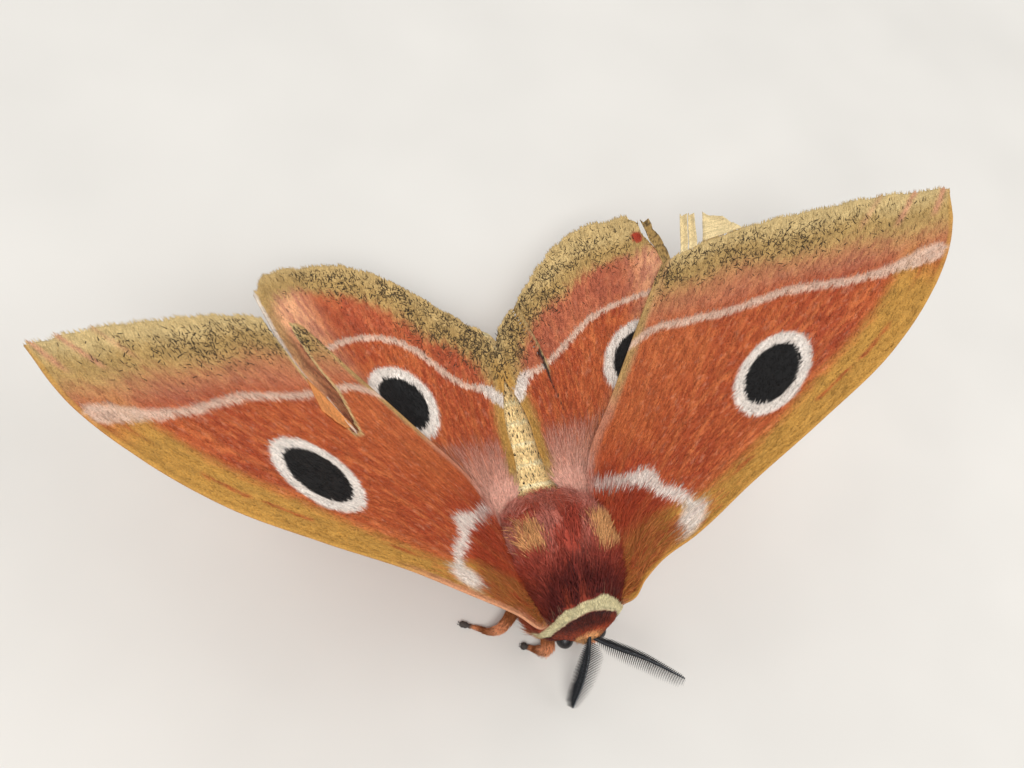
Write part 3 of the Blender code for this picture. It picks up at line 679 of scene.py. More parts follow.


# Fur of the body, in stretches along it

# the two shade factors of a tuft: painted shade at its root, painted light at its tip
furShape = {
    "perPiece": 12000, "rings": (0.0, 0.35, 0.7), "taper": 0.6, "thick": 0.6, "sunk": 0.03,
    "lift": 0.3, "bend": 0.1, "rootPaintedShade": 0.55, "tipPaintedLight": 1.2, "slot": "thorax_fur",
}
shortShape = dict(furShape, rings=(0.0, 0.5), perPiece=19000)
coats = {
    # y and turn (shares of a full circle, 0.25 is the top) bound the zone; lie: away from the middle
    # line, rearward and up; wander: how far it strays; plain: one colour and its least and greatest share
    "thorax_fur": {
        "y": (-1.2, 14.2), "turn": (0.0, 1.0), "count": 15000, "length": 2.0, "half": 0.065,
        "lie": (0.12, 1.0, 0.0), "wander": 0.22, "shape": dict(furShape, lift=0.42, bend=0.2),
    },
    "shoulder_fur": {
        "y": (0.3, 12.0), "turn": (0.03, 0.47), "count": 4500, "length": 2.6, "half": 0.06, "sideOnly": 3.6,
        "lie": (0.75, 1.0, 0.1), "wander": 0.25, "shape": dict(furShape, lift=0.55, bend=0.3),
    },
    "rump_fur": {
        "y": (10.6, 13.6), "turn": (0.02, 0.48), "count": 3800, "length": 2.5, "half": 0.05,
        "lie": (0.1, 1.0, -0.1), "wander": 0.45, "shape": dict(furShape, lift=0.5, bend=0.45),
    },
    "abdomen_fur": {
        "y": (13.0, 37.1), "turn": (0.0, 1.0), "count": 13000, "length": 0.7, "half": 0.075,
        "lie": (0.0, 1.0, 0.0), "wander": 0.12,
        "shape": dict(shortShape, lift=0.12, bend=0.05, slot="abdomen_fur"),
    },
    "collar_fur": {
        "y": (-1.9, 0.6), "turn": (-0.05, 0.55), "count": 11000, "length": 0.6, "half": 0.045,
        "lie": (0.15, 1.0, 0.0), "wander": 0.1, "plain": ("cream", 0.6, 1.12),
        "shape": dict(shortShape, lift=0.42, bend=0.3, rootPaintedShade=0.75, slot="collar_scales"),
    },
    "brow_fur": {
        "y": (-2.4, -0.5), "turn": (-0.02, 0.52), "count": 5200, "length": 0.9, "half": 0.06,
        "lie": (-0.4, -1.0, -0.45), "wander": 0.2,
        "shape": dict(furShape, lift=0.4, bend=0.3, rootPaintedShade=0.35, tipPaintedLight=1.35, slot="head_scales"),
    },
    "face_fur": {
        "y": (-2.78, -1.6), "turn": (0.0, 1.0), "count": 3800, "length": 0.6, "half": 0.05,
        "lie": (0.0, -0.6, -0.8), "wander": 0.25,
        "shape": dict(shortShape, lift=0.35, bend=0.15, slot="head_scales"),
    },
    "cheek_fur": {
        "y": (-2.78, -2.1), "turn": (0.0, 0.6), "count": 1500, "length": 1.15, "half": 0.05,
        "lie": (-0.1, -1.0, -0.3), "wander": 0.15, "plain": ("tan", 0.7, 1.2),
        "shape": dict(shortShape, lift=0.3, bend=0.1, slot="head_scales"),
    },
    "neck_fur": {
        "y": (-2.2, 0.2), "turn": (0.5, 1.0), "count": 2600, "length": 1.2, "half": 0.05,
        "lie": (0.0, 1.0, -0.2), "wander": 0.2,
        "shape": dict(shortShape, lift=0.3, bend=0.1, slot="head_scales"),
    },
}


def coatZone(name, coat, point):
    # which places have this coat
    x, y = point[:, 0], point[:, 1]
    front, rear = collarEdges(x)
    rump = rumpEdge(x)
    zones = {
        "collar_fur": (y > front) & (y < rear - 0.3),
        "thorax_fur": (y > rear + 0.05) & (y < rump - coat["length"] * 0.75),
        "rump_fur": y < rump - 0.3,
        "abdomen_fur": y > rump - 0.4,
        "brow_fur": y < front - 0.1,
        "cheek_fur": np.abs(x + 0.65) < 0.45,
    }
    zones["shoulder_fur"] = zones["thorax_fur"] & (np.abs(x) > coat.get("sideOnly", 0.0))
    return zones.get(name, np.ones(len(point), bool))


def growCoat(name, coat, point, normal, places):
    chosen = coatZone(name, coat, point)
    point, normal, places = point[chosen], normal[chosen], places[chosen]
    count = len(point)
    heading = np.array(coat["lie"]) * np.concatenate([np.sign(point[:, :1]), np.ones((count, 2))], axis=1)
    lie = laidOn(heading + dice.normal(0.0, coat["wander"], (count, 3)), normal)
    length = coat["length"] * dice.uniform(0.65, 1.2, count)
    width = coat["half"] * dice.uniform(0.7, 1.4, count)
    tint = bodyTint(point) * dice.uniform(0.75, 1.25, (count, 1))
    if name == "abdomen_fur":
        # dark speckles on each ring
        ring = abdomenRing(point[:, 1]) % 1.0
        dark = dice.random(count) < 0.24 * bump(ring - 0.4, 0.3) * ease(-8.5, -7.0, point[:, 2])
        tint[dark] = bodyColours["dusk"]
        length[dark] = length[dark] * 0.6
    if "plain" in coat:
        shade, least, most = coat["plain"]
        tint = bodyColours[shade] * dice.uniform(least, most, (count, 1))
    if name == "brow_fur":
        ends = ease(2.5, 4.0, np.abs(point[:, 0])) * 0.4 + ease(-1.2, -1.9, point[:, 1]) * 0.6
        forehead = ease(-1.8, -2.2, point[:, 1]) * bump(point[:, 0] - 0.9, 1.3)
        tint = paint(bodyColours["brow"], bodyColours, ("ember", ends), ("tan", forehead * 0.8))
        tint = tint * dice.uniform(0.45, 1.6, (count, 1))
    growTufts(name, bodyFur, point, normal, lie, length, width, tint, places, coat["shape"])


for name, coat in coats.items():
    y = dice.uniform(*coat["y"], coat["count"])
    turn = dice.uniform(*coat["turn"], coat["count"]) % 1.0
    place = (y - bodyRows[0, 0]) / bodyLength
    growCoat(name, coat, *bodyFrame(turn, place), bakeAt(turn, place))
print("body fur ready")


# Wings: the forewing's plan is drawn on its own plane as (along the span, towards the rear edge)

wing = {
    "root": (5.135, 0.05, 0.16),
    "sweep": {"left": 35.2, "right": 33.5},
    "dihedral": {"left": 25.1, "right": 26.5},
    "pitch": {"left": 30.5, "right": 30.6},
    "halfThickness": 0.06,
    "costaThickness": 0.2,
    "veinRise": 0.14,
    "veinWidth": 0.3,
    "rootDroop": 3.4,
    "rootDroopReach": 9.0,
    "marginTeeth": 0.3,
    "scallop": 0.28,
    "rootSunk": 0.6,
    "ripple": 0.12,
    # hair: how far it strays, where its sizes turn from the root's to the outer ones, and how it varies
    "hairWander": 0.16,
    "hairReach": (0.1, 0.6),
    "lengthVary": (0.7, 1.25),
    "halfVary": (0.75, 1.3),
    "tintVary": (0.8, 1.25),
    "mixedMost": 0.5,
    "lobes": {"forewing": 8, "hindwing": 9},
    "columns": 130,
    "forewingRows": 200,
    "hindwingRows": 180,
}
costaTail = [(16.5, -2.9), (26.5, -4.8), (35.5, -6.1), (43.0, -5.6), (50.0, -3.5), (55.0, 0.0)]
foreOutline = {
    "costa": {
        "left": [(-0.2, -0.7), (2.0, -0.35), (4.6, -0.45), (8.5, -1.6), *costaTail],
        "right": [(-0.2, -1.3), (3.4, -1.6), (9.6, -2.2), *costaTail],
    },
    "outer": [(55.0, 0.0), (53.2, 3.1), (49.5, 8.1), (43.7, 14.8), (38.5, 20.0), (32.2, 23.7)],
    "inner": [(5.5, 11.6), (9.0, 15.0), (14.7, 17.1), (22.5, 20.1), (32.2, 23.7)],
    # along the thorax: from, to and the least distance from its middle; middle: where the lobes' teeth point
    "base": (-0.7, 10.2, 4.4),
    "middle": (4.0, 6.0),
}
# Torn edges of the right forewing, from the margin to the end of the tear and back along the flap
foreTear = [
    (41.0, 26.6), (36.5, 20.7), (31.9, 16.5), (29.8, 15.0), (27.4, 13.1), (24.4, 11.3),
    (23.5, 11.9), (26.7, 16.3), (29.5, 18.3), (32.9, 21.8), (35.0, 26.6),
]
foreVeins = [
    [(3.0, 1.6), (15.0, -0.9), (30.0, -4.0), (38.0, -5.6)],
    [(3.0, 2.4), (14.0, 1.2), (26.0, -1.3), (36.0, -4.0), (44.5, -5.2)],
    [(14.0, 1.2), (25.5, 0.2), (36.0, -2.2), (46.0, -3.5), (52.5, -2.2)],
    [(36.0, -2.2), (46.0, -1.8), (54.4, 0.5)],
    [(25.5, 0.2), (38.0, 0.4), (47.0, 1.9), (53.4, 3.0)],
    [(27.8, 3.0), (39.0, 3.9), (47.0, 5.5), (51.2, 6.0)],
    [(26.6, 5.9), (38.0, 7.6), (48.2, 10.0)],
    [(3.0, 4.2), (12.0, 6.3), (19.0, 7.9), (26.6, 5.9), (27.8, 3.0), (25.5, 0.2)],
    [(11.6, 3.9), (14.9, 4.8), (19.5, 5.7)],
    [(22.6, 7.3), (34.0, 10.8), (44.8, 13.7)],
    [(19.0, 7.9), (30.0, 13.4), (40.8, 17.8)],
    [(3.0, 7.4), (14.0, 12.4), (26.0, 18.0), (35.0, 22.2)],
]
# Marks: the thin line outside the spot, the white bracket near the root and the inner edge of the
# straw band, each as places that a smooth curve runs through
foreMarks = {
    "outerLine": [
        (47.8, -3.3), (43.1, 0.4), (40.2, 3.4), (37.3, 6.6), (34.0, 9.8),
        (30.6, 12.6), (28.9, 14.6), (27.1, 16.2), (25.5, 18.0), (21.3, 20.0),
    ],
    "bracket": [
        (4.8, 12.8), (6.1, 11.1), (7.6, 9.2), (9.3, 7.9), (10.4, 7.1), (10.1, 5.9),
        (10.2, 4.7), (10.7, 3.5), (11.0, 2.4), (10.8, 1.2),
    ],
    "bandEdge": [
        (52.0, -2.6), (50.4, -1.2), (47.8, 1.3), (45.7, 4.8), (42.5, 7.8),
        (39.6, 11.2), (37.0, 15.0), (33.1, 18.0), (29.0, 21.6),
    ],
    "spotCentre": (27.6, 3.0),
    "spotHalf": (3.9, 2.6),
    "spotTurn": 3.5,
    "ringOuter": 1.38,
    "costalPatch": (9.6, -0.1, 2.6, 1.25),
    # where the pink hair of the base ends: t and s
    "baseHair": ((5.5, 8.0, 9.7, 11.4, 13.2, 15.1), (-1.0, 2.8, 4.4, 6.0, 7.8, 9.2)),
}
wingColours = {
    "brick": srgb(178, 84, 41), "rust": srgb(164, 66, 33), "orange": srgb(200, 114, 62),
    "pinkish": srgb(208, 142, 112), "mauve": srgb(188, 124, 96), "straw": srgb(180, 146, 88),
    "paleStraw": srgb(206, 178, 122), "ochre": srgb(188, 138, 62), "line": srgb(214, 182, 160),
    "white": srgb(228, 216, 204), "soot": srgb(15, 13, 12), "speck": srgb(56, 44, 30),
    # salmon: a paler tone laid on the hindwing's costal strip as painted light
    "deep": srgb(166, 56, 30), "hairPink": srgb(232, 178, 158), "salmonPaintedLight": srgb(244, 182, 134),
    "creamStraw": srgb(228, 204, 152), "tanScrap": srgb(206, 132, 72), "olive": srgb(182, 136, 66),
    "umber": srgb(160, 86, 42),
}


def wingAxes(side):
    sweep, lift, pitch = (math.radians(wing[key][side]) for key in ("sweep", "dihedral", "pitch"))
    span = np.array([math.cos(sweep) * math.cos(lift), math.sin(sweep) * math.cos(lift), math.sin(lift)])
    level = np.array([-math.sin(sweep), math.cos(sweep), 0.0])
    chord = level * math.cos(pitch) - np.cross(span, level) * math.sin(pitch)
    flip = np.array([sides[side], 1.0, 1.0])
    return span * flip, chord * flip, np.cross(span, chord) * flip


def wingRoot(side):
    return np.array(wing["root"]) * (sides[side], 1.0, 1.0)


def forewingHeight(side, x, y):
    # the wing's plane, less a droop that grows with the cube of the nearness to its root
    up = wingAxes(side)[2]
    root = wingRoot(side)
    height = root[2] - (up[0] * (x - root[0]) + up[1] * (y - root[1])) / up[2]
    outward = np.clip(1.0 - (np.abs(x) - 3.0) / wing["rootDroopReach"], 0.0, None)
    return height - wing["rootDroop"] * outward**3


def planOf(side, places):
    # plan = root + s * span + t * chord
    span, chord, up = wingAxes(side)
    places = np.asarray(places)
    return (wingRoot(side) + places[..., :1] * span + places[..., 1:] * chord)[..., :2]


def templateOf(side, plan):
    # solves that for s and t
    span, chord, up = wingAxes(side)
    return (plan - wingRoot(side)[:2]) @ np.linalg.inv(np.stack([span[:2], chord[:2]], axis=1)).T


def coonsPatch(base, outer, front, back, across, along):
    # plan stretched between four edges: sum of the two ruled surfaces less the corners' surface
    v, u = along[:, None, None], across[None, :, None]
    baseRow, outerRow = base[None], outer[None]
    corners = (
        (1 - u) * (1 - v) * baseRow[:, :1] + u * (1 - v) * baseRow[:, -1:]
        + (1 - u) * v * outerRow[:, :1] + u * v * outerRow[:, -1:]
    )
    return (1 - v) * baseRow + v * outerRow + (1 - u) * front[:, None] + u * back[:, None] - corners


def veinDistance(places, veins):
    nearest = np.full(places.shape[:-1], 99.0)
    for vein in veins:
        nearest = np.minimum(nearest, nearLine(places, vein, 24))
    return nearest


def beyondLine(places, line, outermost):
    # distance to a smooth line, positive on the side of the outermost place, and the share along it
    curve = smoothCurve(line, np.linspace(0, 1, 60))
    distance, share = lineDistance(places, curve)
    reference = lineDistance(np.array([outermost]), curve)[0][0]
    return distance * np.sign(reference), share


def strands(places, centre, counts, seed):
    # noise that runs with the scales, out from the wing's root, coarse and fine, and how it frays marks
    x, y = places[..., 0] - centre[0], places[..., 1] - centre[1]
    reach, bearing = np.hypot(x, y), np.arctan2(y, x)
    fibre = grain(reach / 1.1, bearing * counts[0], seed)
    fine = grain(reach / 0.4, bearing * counts[1], seed + 1)
    return fibre, fine, (fibre - 0.5) * 0.6 + (fine - 0.5) * 0.3


def spotRadius(x, y, centre, half, turnDegrees):
    turn = math.radians(turnDegrees)
    dx, dy = x - centre[0], y - centre[1]
    p = (dx * math.cos(turn) + dy * math.sin(turn)) / half[0]
    q = (dy * math.cos(turn) - dx * math.sin(turn)) / half[1]
    return np.hypot(p, q)


def scaled(colour, fibre, under):
    # darker between the strands of scales, and paler underneath
    colour = colour * (0.84 + 0.32 * fibre)[..., None]
    return paint(colour, wingColours, ("pinkish", np.full(fibre.shape, 0.3))) if under else colour


def forewingColours(side, places, under):
    s, t = places[..., 0], places[..., 1]
    palette, marks = wingColours, foreMarks
    fibre, fine, fray = strands(places, (-4, 5), (150, 260), 21)
    cloud = grain(s / 5, t / 4, 23)
    speckle = grain(s / 0.35, t / 0.3, 24)
    beyond, share = beyondLine(places, marks["outerLine"], foreOutline["outer"][0])
    beyond = beyond + 0.5 * (grain(share * 11, share * 0, 25) - 0.5)
    bandIn = beyondLine(places, marks["bandEdge"], foreOutline["outer"][2])[0]
    costa = nearLine(places, foreOutline["costa"][side], 50)
    inner = nearLine(places, foreOutline["inner"], 40)
    veins = veinDistance(places, foreVeins)
    apexVeins = bump(veins, 0.3) * ease(0.5, 2.0, bandIn) * ease(9.0, 2.0, t)
    ochreEdge = 2.8 + 1.6 * ease(14, 8, s) + 1.4 * ease(18, 35, s)
    ochre = ease(ochreEdge + 0.9, ochreEdge - 0.9, costa + fray) * ease(49.0, 43.0, s)
    umber = blend(palette["ochre"], palette["umber"], ease(9.0, 4.0, s + fray * 3) * 0.6)
    streaks = ease(0.45, 0.75, fibre) * ochre * ease(19.0, 10.0, s)
    rim = ease(1.6 if side == "left" else 1.1, 0.4, inner + fray * 0.6)
    broken = ease(0.35, 0.65, grain(s / 2.2, s * 0, 26))
    colour = paint(
        blend(palette["brick"], palette["rust"], cloud), palette,
        ("orange", ease(0.45, 0.9, fibre) * 0.5),
        ("deep", ease(14.0, 8.0, s) * 0.6),
        ("pinkish", ease(0.72, 0.95, speckle) * 0.35),
        ("orange", ease(9.0, 16.0, t) * 0.35),
        ("orange", bump(veins, 0.28) * 0.35),
        ("mauve", ease(-0.5, 2.5, beyond + fray) * 0.5),
        ("straw", ease(-4.2, 0.5, bandIn + fray * 2.5) * 0.45),
        ("straw", ease(-1.6, 1.4, bandIn + fray * 1.5)),
        ("paleStraw", ease(1.5, 4.0, bandIn + fray)),
        ("pinkish", apexVeins * 0.8),
        (umber, ochre),
        (palette["orange"] * 0.8, streaks * 0.7),
        ("pinkish", rim * ease(6.0, 10.0, s) * 0.8),
        ("straw", rim * ease(13.0, 18.0, s) * 0.9),
        ("deep", bump(costa - 2.1 + fray * 0.5, 0.2) * broken * ochre * 0.7),
        ("ochre", ease(0.55, 0.2, costa) * 0.7),
    )
    if side == "right":
        colour = blend(colour, palette["pinkish"], ease(0.9, 0.4, costa) * ease(20.0, 12.0, s) * 0.7)
    # the thin line, the bracket near the root, the patch on the costa, then the ringed spot
    lineHalf = 0.4 + 0.5 * ease(0.2, 0.0, share)
    whiteLine = ease(lineHalf + 0.35, lineHalf - 0.2, np.abs(beyond + fray * 0.5))
    bracketGap, bracketShare = lineDistance(places, smoothCurve(marks["bracket"], np.linspace(0, 1, 50)))
    bracketHalf = 0.55 + 0.35 * ease(0.15, 0.4, bracketShare) * ease(0.75, 0.55, bracketShare)
    bracket = ease(bracketHalf + 0.5, bracketHalf - 0.25, np.abs(bracketGap + fray * 0.9))
    bracket = bracket * ease(0.05, 0.2, bracketShare)
    patchS, patchT, halfS, halfT = marks["costalPatch"]
    patch = np.hypot((s - patchS) / halfS, (t - patchT) / halfT) + fray * 0.5
    radius = spotRadius(s, t, marks["spotCentre"], marks["spotHalf"], marks["spotTurn"])
    outer = marks["ringOuter"]
    hairEnd = np.interp(t, *marks["baseHair"])
    colour = paint(
        colour, palette,
        ("line", whiteLine * (0.7 + 0.3 * fine)),
        ("white", bracket * (0.72 + 0.28 * fine)),
        ("white", ease(1.25, 0.6, patch) * (0.7 + 0.3 * fine)),
        ("white", ease(outer + 0.07, outer - 0.07, radius + fray * 0.1)),
        ("soot", ease(1.03, 0.97, radius + fray * 0.04)),
        (palette["hairPink"] * 0.88, ease(hairEnd + 0.5, hairEnd - 0.6, s + fray * 1.6) * 0.8),
    )
    if side == "right":
        torn = np.abs(lineDistance(places, np.array(foreTear[1:-1]))[0])
        colour = blend(colour, palette["paleStraw"], ease(0.45, 0.15, torn + fray * 0.3) * 0.8)
    return scaled(colour, fibre, under)


def wingBase(side, reach, across):
    # the wing's root edge lies just inside the skin of the thorax
    y = reach[0] + (reach[1] - reach[0]) * across
    halfWidth = np.interp(y, bodyRows[:, 0], bodyRows[:, 1])
    return np.stack([sides[side] * np.maximum(halfWidth - wing["rootSunk"], reach[2]), y], axis=-1)


def forewingGrid(side, across, along):
    base = wingBase(side, foreOutline["base"], across)
    front = smoothCurve(np.concatenate([base[:1], planOf(side, foreOutline["costa"][side])]), along)
    back = smoothCurve(np.concatenate([base[-1:], planOf(side, foreOutline["inner"][1:])]), along)
    outer = smoothCurve(planOf(side, foreOutline["outer"]), across)
    return coonsPatch(base, outer, front, back, across, along)


def tearGrid(places, tear):
    # grid points inside the tear move to its nearest edge; squares wholly inside it are dropped
    inside = insideOf(places, tear)
    corner = inside[:-1, :-1] & inside[:-1, 1:] & inside[1:, 1:] & inside[1:, :-1]
    edge = np.array(tear)
    lost = places[inside]
    best, nearest = np.full(len(lost), 1e9), lost.copy()
    for k in range(len(edge) - 1):
        along = edge[k + 1] - edge[k]
        share = np.clip(((lost - edge[k]) @ along) / (along @ along), 0.0, 1.0)
        foot = edge[k] + share[:, None] * along
        distance = np.linalg.norm(lost - foot, axis=1)
        nearest = np.where((distance < best)[:, None], foot, nearest)
        best = np.minimum(distance, best)
    moved = places.copy()
    moved[inside] = nearest
    return moved, ~corner


def fringeTeeth(across, along, seed, lobes):
    # how far the margin is pulled in: scallops 1 - |sin| and worn teeth, fading out inwards
    worn = grain(across * 46, across * 0, seed) * 0.6 + grain(across * 120, across * 0, seed + 1) * 0.4
    scallops = 1 - np.abs(np.sin(across * lobes * math.pi + seed))
    pull = wing["marginTeeth"] * worn + wing["scallop"] * scallops
    return pull[None] * ease(0.93, 1.0, along)[:, None]


def finishWing(kind, side, surface):
    # surface: middle grid, half thickness, kept squares and template places of the grid
    middle, half, keep, places = surface
    points, quads, used, normal = sheet(middle, half, keep)
    flat = places.reshape(-1, 2)
    colours = wingTints[kind]
    tint = np.concatenate([colours(side, flat, under) for under in (False, True)])[used]
    rows, columns = middle.shape[:2]
    bake = sheetBake(*np.meshgrid(np.linspace(0, halfMap, columns), np.linspace(0, 1, rows)), used)
    piece = makePiece(f"{kind}_{side}_skin", points, [quads], wingScales, tint, bake)
    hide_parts(f"{kind}_{side}")
    return middle + normal * half[..., None], normal, places, keep


def wingRelief(places, veins, along):
    # veins stand proud of the wing, less so towards the margin
    proud = bump(veinDistance(places, veins), wing["veinWidth"])
    return wing["veinRise"] * proud * (1 - 0.6 * along[:, None])


def makeForewing(side):
    along, across = np.linspace(0, 1, wing["forewingRows"]), np.linspace(0, 1, wing["columns"])
    plan = forewingGrid(side, across, along)
    places = templateOf(side, plan)
    inward = unit(np.array(foreOutline["middle"]) - places)
    teeth = fringeTeeth(across, along, 40 + sides[side], wing["lobes"]["forewing"])
    places = places + inward * teeth[..., None]
    keep = np.ones((len(along) - 1, len(across) - 1), bool)
    if side == "right":
        places, keep = tearGrid(places, foreTear)
    plan = planOf(side, places)
    x, y = plan[..., 0], plan[..., 1]
    relief = wingRelief(places, foreVeins, along)
    ripple = np.cos(places[..., 1] * 0.9 + places[..., 0] * 0.12) * ease(0.3, 1.0, along)[:, None]
    middle = np.stack([x, y, forewingHeight(side, x, y) + relief + wing["ripple"] * ripple], axis=-1)
    costa = wing["costaThickness"] * bump(across, 0.012)[None] * (1 - 0.6 * along)[:, None]
    half = wing["halfThickness"] + costa * ease(0.0, 0.01, across)[None]
    return finishWing("forewing", side, (middle, half, keep, places))


wingTints = {"forewing": forewingColours}
wingSurfaces = {("forewing", side): makeForewing(side) for side in sides}
print("forewings ready")


# Hindwings, drawn in plan as (outward, rearward)

hindOutline = {
    "costa": [(6.6, 8.6), (13.0, 14.3), (19.6, 22.1), (24.2, 31.0), (26.7, 40.6)],
    "outer": [
        (26.7, 40.6), (25.3, 43.9), (22.2, 46.4), (17.6, 47.5),
        (13.0, 45.9), (8.5, 42.4), (4.2, 38.0), (0.9, 35.0),
    ],
    "inner": [
        (5.6, 12.8), (2.7, 14.4), (1.9, 16.4), (1.5, 19.5), (1.45, 22.5),
        (1.0, 25.4), (0.12, 28.2), (0.1, 32.0), (0.9, 35.0),
    ],
    "base": (8.6, 12.8, 3.0),
    "middle": (8.0, 20.0),
    # how far under the forewing it lies, and the height and slope where it lies over the abdomen
    "drop": 1.85,
    "drapeHeight": -5.0,
    "drapeRise": 0.085,
    "drapeFrom": 15.0,
    "drapeTo": 32.0,
    "drapeSoftness": 0.8,
}
# Damage of the left hindwing: a narrow slit with a raised lip on its outer side, a fine crack beyond it,
# the outer corner torn away, and a worn spot beside it
hindSlit = [
    (3.3, 37.6), (3.95, 34.8), (4.6, 31.7), (5.15, 28.6), (5.6, 24.2),
    (5.35, 28.8), (4.82, 31.9), (4.22, 34.9), (3.65, 38.4),
]
hindCrack = [(5.1, 31.0), (5.25, 30.0), (5.45, 28.6), (5.6, 26.3), (5.8, 24.9), (5.95, 23.2), (6.1, 21.8)]
hindTorn = [
    (27.5, 33.5), (22.9, 36.0), (22.7, 38.0), (22.4, 40.5), (22.1, 42.8),
    (22.3, 44.6), (21.6, 45.9), (21.7, 47.5), (21.8, 52.0), (31.0, 50.0),
]
hindWorn = {"centre": (21.5, 42.6), "half": (0.55, 0.9)}
hindVeins = [
    [(7.0, 10.0), (15.0, 18.0), (21.3, 27.5), (25.0, 37.0), (26.0, 41.0)],
    [(7.0, 11.0), (14.0, 21.0), (20.0, 31.0), (24.4, 43.8)],
    [(12.5, 23.0), (18.0, 33.5), (22.0, 45.7)],
    [(12.7, 27.5), (16.0, 36.0), (18.6, 46.6)],
    [(12.0, 29.6), (13.6, 37.0), (15.0, 46.2)],
    [(6.5, 12.0), (9.0, 21.0), (10.6, 28.8), (12.0, 29.6), (12.7, 27.5), (12.5, 23.0)],
    [(10.6, 28.8), (11.0, 36.0), (11.4, 44.2)],
    [(9.0, 21.0), (8.0, 32.0), (7.6, 41.0)],
    [(6.0, 13.0), (4.9, 24.0), (4.2, 37.4)],
    [(5.8, 13.6), (3.0, 22.0), (1.9, 32.0)],
]
hindMarks = {
    "outerLine": {
        "right": [
            (23.5, 31.5), (19.3, 34.7), (17.1, 36.2), (13.8, 36.6), (11.7, 35.7), (9.8, 34.3),
            (8.0, 32.1), (6.6, 30.1), (4.8, 28.5), (2.7, 27.4), (1.1, 25.7),
        ],
        "left": [
            (23.0, 33.5), (18.5, 34.4), (15.8, 34.7), (12.4, 33.7),
            (9.3, 31.6), (5.5, 29.1), (2.4, 27.9), (1.2, 26.0),
        ],
    },
    "bandEdge": {
        "right": [
            (26.5, 36.0), (23.5, 41.0), (21.0, 42.8), (17.6, 43.0), (13.2, 41.0), (10.2, 38.4),
            (7.6, 35.0), (4.9, 33.3), (3.5, 31.4), (2.0, 27.0), (2.2, 22.0),
        ],
        "left": [
            (27.0, 38.0), (23.5, 40.0), (20.5, 40.2), (17.8, 41.0), (14.3, 40.2), (10.9, 38.0),
            (8.2, 36.6), (5.0, 34.0), (3.4, 31.4), (2.0, 27.0), (2.2, 22.0),
        ],
    },
    "spotCentre": {"left": (15.8, 26.4), "right": (12.5, 27.5)},
    "spotHalf": (3.7, 2.55),
    "spotTurn": 68.0,
    "ringOuter": 1.4,
    # how strong the mauve beyond the line and the pale of the band are
    "mauve": {"left": 0.35, "right": 0.1},
    "pale": {"left": 0.7, "right": 0.45},
}


def hindwingHeight(side, x, y):
    # smooth greater of a surface under the forewing and one laid over the abdomen
    under = forewingHeight(side, x, y) - hindOutline["drop"]
    reach = np.clip(y, hindOutline["drapeFrom"], hindOutline["drapeTo"]) - hindOutline["drapeFrom"]
    drape = hindOutline["drapeHeight"] + hindOutline["drapeRise"] * reach
    return 0.5 * (under + drape + np.sqrt((under - drape) ** 2 + hindOutline["drapeSoftness"] ** 2))


